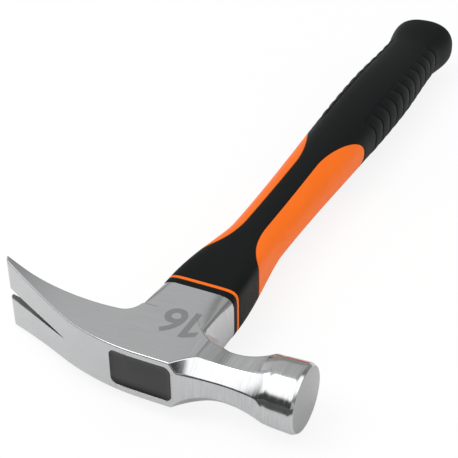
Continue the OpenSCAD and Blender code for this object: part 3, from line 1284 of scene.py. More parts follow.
    def finish_mesh(self, mesh: bpy.types.Mesh) -> None:
        """Puts the corners back on the surface, with true normals, grain and edge marks.

        Args:
            mesh: The head's mesh.
        """
        points = pull_to(self.distance, BENCH.local(raw_corners(mesh)), self.mesh_step / 2)
        move_corners(mesh, points)
        normals = slope(self.distance, points)
        normals /= np.maximum(np.linalg.norm(normals, axis=1, keepdims=True), TINY)
        mesh.shade_smooth()
        mesh.normals_split_custom_set_from_vertices(normals.tolist())
        store(mesh, "grain", self.grain(points, normals))
        store(mesh, "edge", self.edge_marks(mesh, points, normals))
        # Unpolished slot walls, with painted shade at the eye's rim and on the striking face.
        store(mesh, "slot", self.dull_and_shade_marks(points, normals))

    def on_face(self, points: Array, normals: Array) -> Array:
        """Whether each corner lies on the striking face."""
        return (normals[:, 0] > self.face_lean) & (points[:, 0] > self.face_reach - self.face_rim)

    def grain(self, points: Array, normals: Array) -> Array:
        """Brush coordinates in millimetres: across the lines, along them, and how deep they are.

        Args:
            points: Corners of the head.
            normals: Their outward normals.

        Returns:
            One row for each corner.
        """
        x, y, z = points.T
        angle = np.arctan2(z, self.bell_depth - y)
        radial = np.hypot(y - self.bell_depth, z)
        depths = (self.cheek_grain, 1.0, self.front_grain, self.face_grain)
        flat_depth, turned_depth, front_depth, face_depth = (np.full(len(x), depth) for depth in depths)
        flat = np.column_stack([np.where(np.abs(normals[:, 2]) > self.cheek_lean, y, z), x, flat_depth])
        turned = np.column_stack([x, angle * self.bell_radius, turned_depth])
        front = np.column_stack([y, z, front_depth])
        face = np.column_stack([radial, angle * self.face_swirl, face_depth])
        on_neck = x > self.half_socket + self.neck_lead
        on_front = (normals[:, 0] > self.front_lean) & (x < self.half_socket + self.front_run)
        rows = np.where(on_neck[:, None], turned, flat)
        rows = np.where(on_front[:, None], front, rows)
        return np.where(self.on_face(points, normals)[:, None], face, rows)

    def dull_and_shade_marks(self, points: Array, normals: Array) -> Array:
        """How dull or shaded each corner is painted, from 0 to 1: the nail slot's unpolished walls, painted
        shade at the eye's rim, and the striking face, partly duller and partly painted shade.

        Args:
            points: Corners of the head.
            normals: Their outward normals.

        Returns:
            One number for each corner.
        """
        x, y, z = points.T
        wall = (np.abs(normals[:, 2]) > self.wall_lean) & (self.slot_side(x, z) < self.wall_reach)
        in_slot = np.where(wall, smooth(-self.top_line(x, y) / self.wall_fade), 0.0)
        # The striking face: partly duller finish, partly painted shade.
        dull = np.maximum(in_slot, np.where(self.on_face(points, normals), self.face_dull_and_shade, 0.0))
        reach, fade = self.eye_rim_painted_shade
        # Painted shade round the eye's rim, where the recess wall lies in shadow.
        return np.maximum(dull, smooth((reach - self.eye(x, y, z)) / fade))

    def edge_marks(self, mesh: bpy.types.Mesh, points: Array, normals: Array) -> Array:
        """How sharply the surface turns outwards at each corner, from 0 to 1.

        Args:
            mesh: The head's mesh.
            points: Its corners.
            normals: Their outward normals.

        Returns:
            One number for each corner.
        """
        ends = np.zeros(len(mesh.edges) * 2, np.int32)
        mesh.edges.foreach_get("vertices", ends)
        a, b = ends.reshape(-1, 2).T
        way = points[b] - points[a]
        turn = ((normals[b] - normals[a]) * way).sum(1) / np.maximum((way**2).sum(1), TINY)
        total = np.zeros(len(points))
        count = np.zeros(len(points))
        for end in (a, b):
            np.add.at(total, end, turn)
            np.add.at(count, end, 1)
        return clamp(total / np.maximum(count, 1) - self.edge_bend)

    def dress(self) -> bpy.types.Object:
        """Builds the head and fits it out."""
        return fit_out(self.build(), STEEL, Slot.STEEL, "hammer_head")


@dataclass(frozen=True)
class WeightMark:
    """The plain number etched on the upper cheek. The digit 1 is drawn in shares of the digit 6."""

    head: ForgedHead
    one: tuple[Pair, ...] = (
        (0.52, 0.0), (0.79, 0.0), (0.79, 1.0), (0.58, 1.0), (0.12, 0.84), (0.12, 0.65), (0.52, 0.78)
    )
    six: str = "6"
    spacing: float = 0.95
    centre: Pair = (6.0, 23.0)
    height: float = 15.8
    width: float = 16.8
    stroke: float = 0.018
    thickness: float = 0.01
    lift: float = 0.03
    slices: int = 16
    seating_rounds: int = 3

    def build(self) -> bpy.types.Object:
        """Turns the number into a thin mesh that lies on the cheek, read from the claw's back.

        Returns:
            The mark.
        """
        mesh = self.sliced(self.digits())
        corners = raw_corners(mesh)
        low, high = corners.min(0), corners.max(0)
        share = (corners - low) / (high - low) - MIDDLE
        x = self.centre[0] - share[:, 0] * self.width
        y = self.centre[1] - share[:, 1] * self.height
        points = np.column_stack([x, y, np.full(len(x), self.head.half_cheek)])
        for _ in range(self.seating_rounds):
            points[:, 2] -= self.head.distance(points)
        points[:, 2] += share[:, 2] * 2 * self.lift
        move_corners(mesh, points)
        return link("weight_mark", weld(mesh))

    def filled(self, curve: bpy.types.Curve) -> bpy.types.Mesh:
        """Turns a flat curve into a thin mesh.

        Args:
            curve: The curve.

        Returns:
            The mesh.
        """
        curve.extrude = self.thickness
        piece = link("weight_mark", curve)
        graph = bpy.context.evaluated_depsgraph_get()
        mesh = bpy.data.meshes.new_from_object(piece.evaluated_get(graph))
        bpy.data.objects.remove(piece)
        return mesh

    def digits(self) -> bpy.types.Mesh:
        """Draws both digits as one thin mesh, in the font's own units.

        Returns:
            The mesh.
        """
        six = bpy.data.curves.new("six", "FONT")
        six.body = self.six
        six.offset = self.stroke
        mesh = self.filled(six)
        box = raw_corners(mesh)[:, :2]
        low, size = box.min(0), np.ptp(box, axis=0)
        one = bpy.data.curves.new("one", "CURVE")
        one.dimensions = "2D"
        one.fill_mode = "BOTH"
        spline = one.splines.new("POLY")
        spline.points.add(len(self.one) - 1)
        for point, (across, up) in zip(spline.points, self.one):
            point.co = (low[0] + (across - self.spacing) * size[0], low[1] + up * size[1], 0, 1)
        spline.use_cyclic_u = True
        with edited(mesh) as bm:
            bm.from_mesh(self.filled(one))
        return mesh

    def sliced(self, mesh: bpy.types.Mesh) -> bpy.types.Mesh:
        """Cuts a mesh into small squares, so that it can follow a curved cheek.

        Args:
            mesh: The mesh.

        Returns:
            The same mesh.
        """
        with edited(mesh) as bm:
            for axis in (Vector((1, 0, 0)), Vector((0, 1, 0))):
                reach = [v.co.dot(axis) for v in bm.verts]
                for cut in np.linspace(min(reach), max(reach), self.slices + 1)[1:-1]:
                    everything = bm.verts[:] + bm.edges[:] + bm.faces[:]
                    plane = {"plane_co": axis * float(cut), "plane_no": axis}
                    bmesh.ops.bisect_plane(bm, geom=everything, dist=WELD, **plane)
        return mesh

    def dress(self) -> bpy.types.Object:
        """Builds the mark and fits it out."""
        return fit_out(self.build(), ETCHED, Slot.STEEL)


@dataclass(frozen=True)
class EyeFilling:
    """Epoxy in the eye: a cup over the rod's end that hugs the eye's tapered wall."""

    head: ForgedHead
    recess: float = 0.7
    meniscus: float = 0.6
    meniscus_power: int = 10
    top_rings: tuple[float, ...] = (0.0, 0.3, 0.55, 0.72, 0.84, 0.92, 0.97, 1.0)
    wall_rings: Pair = (2.0, 12.0)
    cover: float = 2.0
    rod: Pair = (17.2, 13.0)
    rod_corner: float = 5.0
    rod_shift: float = 1.3
    corner_points: int = 10

    def ring(self, length: float, width: float, corner: float, y: Value) -> Array:
        """A rounded rectangle of corners at a depth.

        Args:
            length: Size along x.
            width: Size along z.
            corner: Corner radius.
            y: The depth.

        Returns:
            The corners, in order round the ring.
        """
        turn = np.linspace(0, math.pi / 2, self.corner_points)
        points = []
        for quarter, (sx, sz) in enumerate(((1, 1), (-1, 1), (-1, -1), (1, -1))):
            angle = turn + quarter * math.pi / 2
            x = sx * (length / 2 - corner) + corner * np.cos(angle)
            z = sz * (width / 2 - corner) + corner * np.sin(angle)
            points.append(np.column_stack([x, np.broadcast_to(y, x.shape), z]))
        return np.concatenate(points)

    def eye_ring(self, y: float, shrink: float = 1.0) -> Array:
        """The eye's outline at a depth, shrunk about the axis.

        Args:
            y: The depth.
            shrink: Share of the eye's size.

        Returns:
            The corners, in order.
        """
        t = y / self.head.socket_depth
        length, width = (a + (b - a) * t for a, b in zip(self.head.eye_top, self.head.eye_low))
        ring = self.ring(length, width, self.head.eye_corner, y)
        return ring * [shrink, 1, shrink]

    def build(self) -> bpy.types.Object:
        """Lofts the top, the outer wall, the lower end and the bed of the rod.

        Returns:
            The filling.
        """
        rings = []
        for share in self.top_rings:
            ring = self.eye_ring(self.recess, share)
            rise = self.meniscus * share**self.meniscus_power
            sag = np.where(ring[:, 0] < 0, ring[:, 0] ** 2 / (2 * self.head.bend_radius), 0)
            ring[:, 1] += sag - rise
            rings.append(ring)
        end = self.head.socket_depth
        rings += [self.eye_ring(y) for y in (*self.wall_rings, end)]
        bed = self.recess + self.cover
        shift = np.array([self.rod_shift, 0, 0])
        rings += [self.ring(*self.rod, self.rod_corner, y) + shift for y in (end, bed)]
        rings.append(self.ring(*self.rod, self.rod_corner, bed) * [0, 1, 0] + shift)
        faces = grid_faces(len(rings), len(rings[0]), wrap_columns=True)
        return link("eye_filling", weld(make_mesh("eye_filling", np.concatenate(rings), faces)))

    def dress(self) -> bpy.types.Object:
        """Builds the filling and fits it out."""
        return fit_out(self.build(), EPOXY, Slot.EPOXY, "eye_epoxy")


@dataclass(frozen=True)
class HandleShape:
    """The handle's outside: its sections, the side panels' outline and the ribs' field, in millimetres."""

    length: float = 340.0
    shift: float = 1.3
    start: float = 45.4
    collar: float = 3.3
    ring: float = 1.7
    waist: float = 102.0
    belly: float = 252.5
    throat: float = 305.0
    butt_rounding: float = 8.2
    widths: tuple[float, ...] = (31.2, 25.4, 32.9, 30.2, 35.2)
    thicknesses: tuple[float, ...] = (21.2, 19.2, 27.6, 25.2, 28.8)
    squareness: tuple[float, ...] = (7.0, 2.5, 2.4, 2.4, 2.4)
    strip: float = 10.3
    panel_front: float = 70.8
    panel_length: float = 125.6
    nose: float = 31.0
    nose_bend: float = 10.4
    arch: float = 41.0
    arch_bend: float = 24.6
    first_groove: float = 205.4
    groove_pitch: float = 10.0
    grooves: int = 11
    groove_bow: float = 4.0
    field: float = 21.0
    lip: float = 0.35
    curve_points: int = 400
    outline_points: int = 4001
    lean_step: float = 0.05

    @property
    def collar_end(self) -> float:
        """Where the collar meets the ring."""
        return self.start + self.collar

    @property
    def ring_end(self) -> float:
        """Where the ring meets the sleeve."""
        return self.collar_end + self.ring

    @property
    def panel_back(self) -> float:
        """Back end of the side panels."""
        return self.panel_front + self.panel_length

    @property
    def butt_start(self) -> float:
        """Where the butt begins to round off."""
        return self.length - self.butt_rounding

    def along(self, y: Array, values: tuple[float, ...]) -> Array:
        """Value at a depth of a curve that runs level through each station.

        Args:
            y: Depths.
            values: The value at each station.

        Returns:
            The value at each depth.
        """
        stations = np.array([self.ring_end, self.waist, self.belly, self.throat, self.butt_start])
        values = np.array(values)
        i = np.clip(np.searchsorted(stations, y, side="right") - 1, 0, len(stations) - 2)
        t = (y - stations[i]) / (stations[i + 1] - stations[i])
        return values[i] + (values[i + 1] - values[i]) * smooth(t)

    def section(self, y: Array, turn: Array, inset: Value = 0.0) -> Array:
        """Points on the handle's outside, about its axis.

        Args:
            y: Depth of each point.
            turn: Its angle round the section.
            inset: How far it is drawn in.

        Returns:
            The points, with x, y and z last.
        """
        a = self.along(y, self.widths) / 2 - inset
        b = self.along(y, self.thicknesses) / 2 - inset
        power = 2 / self.along(y, self.squareness)
        cos, sin = np.cos(turn), np.sin(turn)
        x = a * np.sign(cos) * np.abs(cos) ** power
        z = b * np.sign(sin) * np.abs(sin) ** power
        return np.stack(np.broadcast_arrays(x, y, z), -1)

    def on_axis(self, points: Array) -> Array:
        """Rows of points moved from the handle's axis to the maker's frame."""
        return points.reshape(-1, 3) + [self.shift, 0, 0]

    def skin(self, name: str, shells: list[Array]) -> bpy.types.Mesh:
        """Makes one mesh of shells whose points lie about the handle's axis, by row and column.

        Args:
            name: Name of the mesh.
            shells: Points of each shell.

        Returns:
            The mesh.
        """
        points, faces = [], []
        for shell in shells:
            faces += grid_faces(*shell.shape[:2], start=sum(map(len, points)))
            points.append(self.on_axis(shell))
        return make_mesh(name, np.concatenate(points), faces)

    def curve(self, y: Array, a: Pair, b: Pair, c: Pair) -> Array:
        """Height at each depth of a quadratic curve.

        Args:
            y: Depths.
            a: Start, as height and depth.
            b: Control point.
            c: End.

        Returns:
            The heights.
        """
        t = np.linspace(0, 1, self.curve_points)
        points = [(1 - t) ** 2 * p + 2 * t * (1 - t) * q + t**2 * r for p, q, r in zip(a, b, c)]
        return np.interp(y, points[1], points[0])

    def edge_turn(self, y: Array) -> Array:
        """Angle round the section at which a side panel ends, 0 where there is no panel.

        Args:
            y: Depths.

        Returns:
            The angles.
        """
        half = self.strip / 2
        front, back = self.panel_front, self.panel_back
        wide = self.widths[0] / 2, self.widths[2] / 2
        nose = self.curve(y, (wide[0], front), (half, front + self.nose_bend), (half, front + self.nose))
        arch = self.curve(y, (half, back - self.arch), (half, back - self.arch_bend), (wide[1], back))
        edge = np.where(y < (front + back) / 2, nose, arch)
        a = self.along(y, self.widths) / 2
        power = self.along(y, self.squareness) / 2
        turn = np.arccos(clamp(edge / a) ** power)
        return np.where((y > front) & (y < back), turn, 0.0)

    def panel_span(self) -> Pair:
        """First and last depth at which the panel's outline lies on the handle.

        Returns:
            Both depths.
        """
        y = np.linspace(self.panel_front, self.panel_back, self.outline_points)
        open_rows = y[self.edge_turn(y) > 0]
        return float(open_rows[0]), float(open_rows[-1])

    def window_rows(self, count: int) -> Array:
        """Depths along the side panels, closer together at both ends."""
        low, high = self.panel_span()
        return low + (high - low) * (1 - np.cos(np.linspace(0, math.pi, count))) / 2

    def arc_scale(self, y: Array) -> Array:
        """Rough length along the section for one radian."""
        return (self.along(y, self.widths) + self.along(y, self.thicknesses)) / 4

    def edge_distance(self, y: Array, beyond: Array) -> Array:
        """Distance over the surface from a panel's outline.

        Args:
            y: Depth of each point.
            beyond: Angle from the outline.

        Returns:
            Distance in millimetres.
        """
        reach = self.lean_step
        lean = (self.edge_turn(y + reach) - self.edge_turn(y - reach)) / (2 * reach)
        scale = self.arc_scale(y)
        return np.abs(beyond) * scale / np.sqrt(1 + (lean * scale) ** 2)

    def lip_inset(self, distance: Array) -> Array:
        """How far a moulding's rounded edge is drawn in, by the distance from the edge."""
        inner = np.clip(self.lip - distance, 0, self.lip)
        return self.lip - np.sqrt(self.lip**2 - inner**2)


@dataclass(frozen=True)
class RibTree:
    """Geometry nodes that press grooves and their edge line into the grip."""

    pitch: float
    width: float = 1.8
    depth: float = 0.6
    crown: float = 0.35
    fade: float = 1.2
    edge_width: float = 0.85
    edge_depth: float = 0.6

    def tree(self) -> tuple[bpy.types.NodeTree, dict[str, str]]:
        """Builds the tree.

        Returns:
            The tree, and the identifier of each input by its field's name.
        """
        tree = bpy.data.node_groups.new("grip_ribs", "GeometryNodeTree")
        tree.interface.new_socket("Geometry", in_out="INPUT", socket_type="NodeSocketGeometry")
        kinds = {field.name: "NodeSocketFloat" for field in fields(self)} | {"material": "NodeSocketMaterial"}
        names = {}
        for name, kind in kinds.items():
            label = name.replace("_", " ").title()
            names[name] = tree.interface.new_socket(label, in_out="INPUT", socket_type=kind).identifier
        tree.interface.new_socket("Geometry", in_out="OUTPUT", socket_type="NodeSocketGeometry")
        sheet = NodeSheet(tree)
        given = sheet.node("NodeGroupInput")
        size = {name: given.sibling(key) for name, key in names.items()}
        along, beside, ribbed = (
            sheet.node("GeometryNodeInputNamedAttribute", {"data_type": "FLOAT"}, {"Name": name})
            for name in ("along", "beside", "ribbed")
        )
        turns = along / size["pitch"]
        gap = abs(turns - turns.math("ROUND")) * size["pitch"]
        groove = 1 - gap.eased(0.0, size["width"] / 2)
        swell = gap.eased(0.0, size["pitch"] / 2)
        side = beside.eased(0.0, size["fade"])
        line = 1 - abs(beside).eased(0.0, size["edge_width"])
        sunk = groove * side * size["depth"] + line * size["edge_depth"]
        rise = (swell * side * size["crown"] - sunk) * ribbed * MM
        normal = sheet.node("GeometryNodeInputNormal")
        offset = sheet.node("ShaderNodeVectorMath", {"operation": "SCALE"}, {0: normal, "Scale": rise})
        moved = sheet.node("GeometryNodeSetPosition", None, {"Geometry": given, "Offset": offset})
        real = sheet.node("GeometryNodeRealizeInstances", None, {"Geometry": moved})
        skin = {"Geometry": real, "Material": size["material"]}
        painted = sheet.node("GeometryNodeSetMaterial", None, skin)
        sheet.node("NodeGroupOutput", None, {"Geometry": painted})
        return tree, names

    def press(self, piece: bpy.types.Object, material: bpy.types.Material) -> bpy.types.Object:
        """Presses the ribs into a piece and settles the result.

        Args:
            piece: The grip before its ribs.
            material: Material of the result.

        Returns:
            The same piece.
        """
        tree, names = self.tree()
        modifier = piece.modifiers.new("ribs", "NODES")
        modifier.node_group = tree
        for name, value in {**asdict(self), "material": material}.items():
            modifier[names[name]] = value
        return settle(piece)


@dataclass(frozen=True)
class RubberGrip:
    """Second moulding shot: sleeve, strip between the panels, ribbed grip and flared butt.

    Attributes:
        in_groove: Rows of corners to each side of a groove's middle, in millimetres.
        on_crown: Rows over the rib that follows.
        crowds: Where columns stand closer: how much, at which share of a quarter turn, and how far.
    """

    shape: HandleShape
    wall: float = 1.3
    quarter_columns: int = 32
    sleeve_rows: int = 16
    window_rows: int = 110
    in_groove: tuple[float, ...] = (0.22, 0.45, 0.7, 0.95, 1.3)
    on_crown: tuple[float, ...] = (2.6, 4.1, 6.1, 7.6)
    lip_rows: int = 5
    lead_rows: int = 10
    tail_rows: int = 16
    dome_rows: int = 16
    butt_gap: float = 7.0
    rib_fade: float = 6.0
    column_samples: int = 400
    crowds: tuple[Triple, ...] = ((3.0, 0.58, 0.06), (2.0, 0.0, 0.08))
    cap_rings: int = 3
    cap_step: float = 1.5

    def depths(self) -> tuple[Array, Array]:
        """Depth of each row before it is bowed, and how far it is drawn in for the butt.

        Returns:
            Both, one number for each row.
        """
        s = self.shape
        window = s.window_rows(self.window_rows)
        lip = s.ring_end + s.lip * (1 - np.cos(np.linspace(0, math.pi / 2, self.lip_rows)))
        sleeve = np.linspace(lip[-1], window[0], self.sleeve_rows)[1:-1]
        steps = (*(-step for step in self.in_groove[::-1]), 0.0, *self.in_groove, *self.on_crown)
        ribs = [s.first_groove + i * s.groove_pitch + step for i in range(s.grooves) for step in steps]
        ribs = [y for y in ribs if y < s.butt_start - self.butt_gap]
        lead = np.linspace(window[-1], ribs[0], self.lead_rows)[1:-1]
        tail = np.linspace(ribs[-1], s.butt_start, self.tail_rows)[1:]
        turn = np.linspace(0, math.pi / 2, self.dome_rows)[1:]
        dome = s.butt_start + s.butt_rounding * np.sin(turn)
        y = np.concatenate([lip, sleeve, window, lead, ribs, tail, dome])
        inset = np.zeros(len(y))
        inset[-len(dome):] = s.butt_rounding * (1 - np.cos(turn))
        return y, inset

    def columns(self) -> Array:
        """Shares of a quarter turn, closest together at the panels and beside the smooth field.

        Returns:
            The shares, from 0 to 1.
        """
        share = np.linspace(0, 1, self.column_samples)
        density = np.ones(self.column_samples)
        for gain, place, spread in self.crowds:
            density = density + gain * np.exp(-(((share - place) / spread) ** 2))
        total = np.cumsum(density) - density[0]
        return np.interp(np.linspace(0, total[-1], self.quarter_columns), total, share)

    def shell(self, sign: int) -> tuple[Array, dict[str, Array]]:
        """Points of the upper or lower half of the grip.

        Args:
            sign: 1 for the upper half, -1 for the lower.

        Returns:
            The points by row and column, and the attributes that the ribs need.
        """
        s = self.shape
        depth, inset = self.depths()
        share = self.columns()
        edge = s.edge_turn(depth)[:, None]
        quarter = edge + (math.pi / 2 - edge) * share
        turn = np.concatenate([quarter, math.pi - quarter[:, -2::-1]], 1)
        y = np.broadcast_to(depth[:, None], turn.shape)
        beyond = np.minimum(turn - edge, math.pi - edge - turn)
        lip = np.where(edge > 0, s.lip_inset(s.edge_distance(y, beyond)), 0)
        lip = np.maximum(lip, s.lip_inset(y - s.ring_end))
        points = s.section(y, sign * turn, lip + inset[:, None])
        beside = np.abs(points[..., 0]) - s.field / 2
        half = s.along(y, s.widths) / 2 - s.field / 2
        first, last = s.first_groove, s.first_groove + (s.grooves - 1) * s.groove_pitch
        fade = self.rib_fade
        ribbed = smooth((y - first + fade) / fade) * smooth((last + fade - y) / fade)
        bowed = smooth((y - s.panel_back) / (first - s.panel_back))
        bowed = bowed * smooth((s.butt_start - y) / (s.butt_start - last))
        points[..., 1] += s.groove_bow * smooth(beside / half) * bowed
        return points, {"along": y - first, "beside": beside, "ribbed": ribbed}

    def build(self) -> bpy.types.Object:
        """Joins the two halves, closes the end, presses the ribs and gives the rubber its wall.

        Returns:
            The grip.
        """
        halves = [self.shell(sign) for sign in (1, -1)]
        mesh = self.shape.skin("rubber_grip_moulded", [points for points, _ in halves])
        for name in halves[0][1]:
            store(mesh, name, np.concatenate([marks[name].ravel() for _, marks in halves]))
        self.close_end(weld(mesh))
        piece = link("rubber_grip_moulded", mesh)
        RibTree(self.shape.groove_pitch).press(piece, RUBBER.material())
        return thicken(piece, self.wall)

    def close_end(self, mesh: bpy.types.Mesh) -> None:
        """Closes the flat middle of the butt with rings that shrink to its centre.

        Args:
            mesh: The grip's mesh.
        """
        end = BENCH.point(0, self.shape.length, 0).y - WELD
        with edited(mesh) as bm:
            rim = [e for e in bm.edges if e.is_boundary and all(v.co.y > end for v in e.verts)]
            cap = bmesh.ops.contextual_create(bm, geom=rim)["faces"]
            for _ in range(self.cap_rings):
                bmesh.ops.inset_region(bm, faces=cap, thickness=self.cap_step * MM, use_even_offset=False)
            bmesh.ops.recalc_face_normals(bm, faces=bm.faces)
        mesh.shade_smooth()

    def dress(self) -> bpy.types.Object:
        """Builds the grip and fits it out."""
        return fit_out(self.build(), RUBBER, Slot.RUBBER, "rubber_grip")


@dataclass(frozen=True)
class Band:
    """A closed band round the start of the handle, with rounded edges."""

    shape: HandleShape
    name: str
    low: float
    high: float
    edge: float = 0.28
    wall: float = 1.5
    edge_rows: int = 5
    columns: int = 160

    def build(self) -> bpy.types.Object:
        """Sweeps a rounded strip round the section.

        Returns:
            The band.
        """
        turn = np.linspace(0, math.pi / 2, self.edge_rows)
        ends = self.edge * (1 - np.cos(turn))
        insets = self.edge * (1 - np.sin(turn))
        y = np.concatenate([[self.low], self.low + ends, self.high - ends[::-1], [self.high]])
        inset = np.concatenate([[self.wall], insets, insets[::-1], [self.wall]])
        angle = np.linspace(0, 2 * math.pi, self.columns, endpoint=False)
        start = np.full((len(y), self.columns), self.shape.ring_end)
        points = self.shape.section(start, angle[None, :], inset[:, None])
        points[..., 1] = y[:, None]
        faces = grid_faces(len(y), self.columns, wrap_rows=True, wrap_columns=True)
        return link(self.name, weld(make_mesh(self.name, self.shape.on_axis(points), faces)))


@dataclass(frozen=True)
class OrangeJacket:
    """What shows of the first moulding shot: the ring and the two side panels."""

    shape: HandleShape
    wall: float = 1.4
    gap: float = 0.03
    columns: int = 61
    rows: int = 130

    def panel(self, side: Side) -> Array:
        """Points of one side panel by row and column.

        Args:
            side: Which side of the handle.

        Returns:
            The points.
        """
        s = self.shape
        depth = s.window_rows(self.rows)
        share = -np.cos(np.linspace(0, math.pi, self.columns))
        edge = np.maximum(s.edge_turn(depth) - self.gap / s.arc_scale(depth), 0)[:, None]
        turn = edge * share
        y = np.broadcast_to(depth[:, None], turn.shape)
        lip = s.lip_inset(s.edge_distance(y, edge - np.abs(turn)))
        points = s.section(y, turn, lip)
        return points * [side.value, 1, 1]

    def build(self) -> bpy.types.Object:
        """Joins the panels and the ring into one piece.

        Returns:
            The jacket.
        """
        mesh = self.shape.skin("orange_jacket", [self.panel(side) for side in Side])
        piece = thicken(link("orange_jacket", weld(mesh)), self.wall)
        ring = Band(self.shape, "orange_ring", self.shape.collar_end, self.shape.ring_end).build()
        with edited(piece.data) as bm:
            bm.from_mesh(ring.data)
        bpy.data.objects.remove(ring)
        piece.data.shade_smooth()
        return piece

    def dress(self) -> bpy.types.Object:
        """Builds the jacket and fits it out."""
        return fit_out(self.build(), ORANGE, Slot.ORANGE, "handle_jacket")


# Studio


@dataclass(frozen=True)
class Softbox:
    """A square lamp that looks at the hammer."""

    name: str
    place: Triple
    size: float
    power: float
    target: Triple = (0.0, -0.1, 0.02)
    mirrored: bool = True

    def build(self) -> None:
        """Adds the lamp."""
        lamp = bpy.data.lights.new(self.name, "AREA")
        lamp.shape = "SQUARE"
        lamp.size = self.size
        lamp.energy = self.power
        lantern = bpy.data.objects.new(self.name, lamp)
        lantern.visible_glossy = self.mirrored
        aim = Vector(self.target) - Vector(self.place)
        turn = aim.to_track_quat("-Z", "Y").to_matrix().to_4x4()
        lantern.matrix_world = Matrix.Translation(self.place) @ turn
        bpy.context.scene.collection.objects.link(lantern)


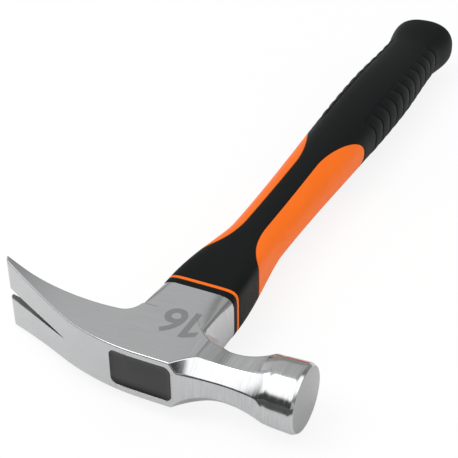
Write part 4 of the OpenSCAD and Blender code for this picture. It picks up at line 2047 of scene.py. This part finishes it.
@dataclass(frozen=True)
class Studio:
    """Pale floor, soft lamps, a dark card and walls for the metal to reflect, and the camera.

    Sizes are in metres. Apart from the card's corners, a pair says between which parts of a direction
    a wall or the canopy fades in.
    """

    floor_size: float = 6.0
    floor_drop: float = 0.0005
    floor_colour: float = 0.96
    floor_glow: float = 0.85
    floor_shine: float = 0.12
    ambient: float = 0.78
    canopy: float = 2.0
    left_wall: float = 0.85
    back_wall: float = 0.76
    bell_wall: float = 0.42
    neck_wall: float = 0.62
    right_wall: float = 0.28
    right_light: float = 1.2
    front_wall: float = 0.07
    camera_shade: Triple = (0.83, -0.46, 0.31)
    shade_rim: Pair = (0.93, 0.97)
    card_low: Pair = (-0.9, -2.0)
    card_high: Pair = (0.35, -0.211)
    canopy_foot: Pair = (0.32, 0.5)
    canopy_left: Pair = (-0.62, -0.5)
    canopy_front: Pair = (-0.35, -0.15)
    canopy_back: Pair = (-0.1, 0.08)
    canopy_skew: Pair = (0.2, 0.6)
    skew_depth: float = 0.5
    front_back: Pair = (-0.4, 0.0)
    front_left: Pair = (-0.95, -0.75)
    left_step: Pair = (-0.72, -0.62)
    bell_step: Pair = (-0.37, -0.26)
    neck_step: Pair = (-0.24, -0.08)
    right_step: Pair = (0.1, 0.5)
    low_back_top: Pair = (0.3, 0.42)
    low_back_front: Pair = (0.4, 0.55)
    right_light_step: Pair = (0.55, 0.68)
    right_light_back: Pair = (0.2, 0.4)
    lamps: tuple[Softbox, ...] = (
        Softbox("key_softbox", (-0.35, -0.55, 1.0), 0.7, 5.0),
        Softbox("rim_softbox", (0.95, 0.2, 0.1), 0.4, 1.1, (0.02, 0.05, 0.02), mirrored=False),
    )
    camera_place: Triple = (0.18253, -0.44829, 0.29118)
    azimuth: float = 26.32
    elevation: float = 32.76
    roll: float = -0.68
    focal_pixels: float = 1150.16
    sensor: float = 36.0
    near: float = 0.01

    def build(self) -> None:
        """Sets up the whole studio."""
        self.floor()
        self.dark_card()
        self.world()
        for lamp in self.lamps:
            lamp.build()
        self.camera()
        bpy.context.scene.view_settings.view_transform = "Standard"

    @staticmethod
    def level_sheet(name: str, low: Pair, high: Pair) -> tuple[bpy.types.Object, NodeSheet]:
        """Lays a level sheet between two corners, with an empty material.

        Args:
            name: Its name.
            low: One corner, as x and y.
            high: The opposite corner.

        Returns:
            The sheet and its material's tree.
        """
        mesh = bpy.data.meshes.new(name)
        corners = [(low[0], low[1], 0), (high[0], low[1], 0), (high[0], high[1], 0), (low[0], high[1], 0)]
        mesh.from_pydata(corners, [], [(0, 1, 2, 3)])
        material, sheet = new_material(name)
        mesh.materials.append(material)
        return link(name, mesh), sheet

    def floor(self) -> None:
        """A pale floor under the hammer."""
        half = self.floor_size / 2
        plane, sheet = self.level_sheet("studio_floor", (-half, -half), (half, half))
        plane.location.z = -self.floor_drop
        colour = (*[self.floor_colour] * 3, 1.0)
        matt = sheet.node("ShaderNodeBsdfDiffuse", None, {"Color": colour})
        glow = sheet.node("ShaderNodeEmission", None, {"Color": WHITE, "Strength": 1.0})
        camera, mirrored = sheet.rays()
        seen = camera * self.floor_glow + mirrored * self.floor_shine
        both = sheet.node("ShaderNodeMixShader", None, {0: seen, 1: matt, 2: glow})
        sheet.node("ShaderNodeOutputMaterial", None, {"Surface": both})

    def dark_card(self) -> None:
        """A dark card on the floor in front, seen by nothing but the metal's reflections."""
        card, sheet = self.level_sheet("dark_card", self.card_low, self.card_high)
        for ray in ("camera", "diffuse", "shadow", "transmission", "volume_scatter"):
            setattr(card, f"visible_{ray}", False)
        sheet.surface(base_color=(*[self.front_wall] * 3, 1.0), roughness=1.0)

    def room(self, sheet: NodeSheet) -> Socket:
        """Brightness of the walls and the canopy by direction, as the metal reflects them.

        Args:
            sheet: The world's tree.

        Returns:
            The brightness.
        """
        way = sheet.node("ShaderNodeTexCoord", out="Generated")
        x = sheet.node("ShaderNodeSeparateXYZ", None, {0: way}, out="X")
        y, z = x.sibling("Y"), x.sibling("Z")
        a, b, c = self.camera_shade
        lit = 1 - (x * a + y * b + z * c).eased(*self.shade_rim)
        room = last = self.back_wall
        steps = (self.bell_step, self.neck_step, self.right_step)
        for step, wall in zip(steps, (self.bell_wall, self.neck_wall, self.right_wall)):
            room = room + x.eased(*step) * (wall - last)
            last = wall
        low_back = (1 - z.eased(*self.low_back_top)) * y.eased(*self.low_back_front)
        room = room.blend(self.bell_wall, low_back)
        room = self.left_wall + x.eased(*self.left_step) * (room - self.left_wall)
        high = z.eased(*self.canopy_foot)
        front = (1 - high) * (1 - y.eased(*self.front_back)) * x.eased(*self.front_left)
        room = room.blend(self.front_wall, front)
        right = x.eased(*self.right_light_step) * (1 - y.eased(*self.right_light_back)) * lit
        room = room.blend(self.right_light, right)
        left = x.eased(*self.canopy_left).math("MAXIMUM", 1 - y.eased(*self.canopy_front))
        skewed = y - x.eased(*self.canopy_skew) * self.skew_depth
        over = high * (1 - skewed.eased(*self.canopy_back)) * left * lit
        return room.blend(self.canopy, over)

    def world(self) -> None:
        """Even soft light, white to the camera, with a canopy and walls for the metal to reflect."""
        world = bpy.data.worlds.new("studio")
        bpy.context.scene.world = world
        world.use_nodes = True
        sheet = NodeSheet(world.node_tree)
        camera, mirrored = sheet.rays()
        strength = self.ambient + mirrored * (self.room(sheet) - self.ambient)
        strength = strength.blend(1.0, camera)
        back = sheet.node("ShaderNodeBackground", None, {"Color": WHITE, "Strength": strength})
        sheet.node("ShaderNodeOutputWorld", None, {"Surface": back})

    def camera(self) -> None:
        """Puts the camera where the photograph was taken from."""
        a, e, r = map(math.radians, (self.azimuth, self.elevation, self.roll))
        right = Vector((math.cos(a), math.sin(a), 0))
        up = Vector((-math.sin(a) * math.sin(e), math.cos(a) * math.sin(e), math.cos(e)))
        back = right.cross(up)
        across = right * math.cos(r) + up * math.sin(r)
        upright = up * math.cos(r) - right * math.sin(r)
        data = bpy.data.cameras.new("camera")
        data.sensor_width = self.sensor
        data.lens = self.focal_pixels / IMAGE_SIZE * self.sensor
        data.clip_start = self.near
        camera = bpy.data.objects.new("camera", data)
        turn = Matrix((across, upright, back)).transposed().to_4x4()
        camera.matrix_world = Matrix.Translation(self.camera_place) @ turn
        bpy.context.scene.collection.objects.link(camera)
        bpy.context.scene.camera = camera


def main() -> None:
    """Builds the hammer piece by piece, then the studio."""
    logging.basicConfig(level=logging.INFO, format="%(name)s %(message)s")
    head = ForgedHead()
    handle = HandleShape()
    head.dress()
    WeightMark(head).dress()
    EyeFilling(head).dress()
    OrangeJacket(handle).dress()
    RubberGrip(handle).dress()
    collar = Band(handle, "front_collar_moulded", handle.start, handle.collar_end)
    fit_out(collar.build(), RUBBER, Slot.RUBBER, "front_collar")
    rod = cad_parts["fibreglass_core"]
    rod.data.materials.clear()
    rod.data.materials.append(FIBREGLASS.material())
    Studio().build()


if __name__ == "__main__":
    main()
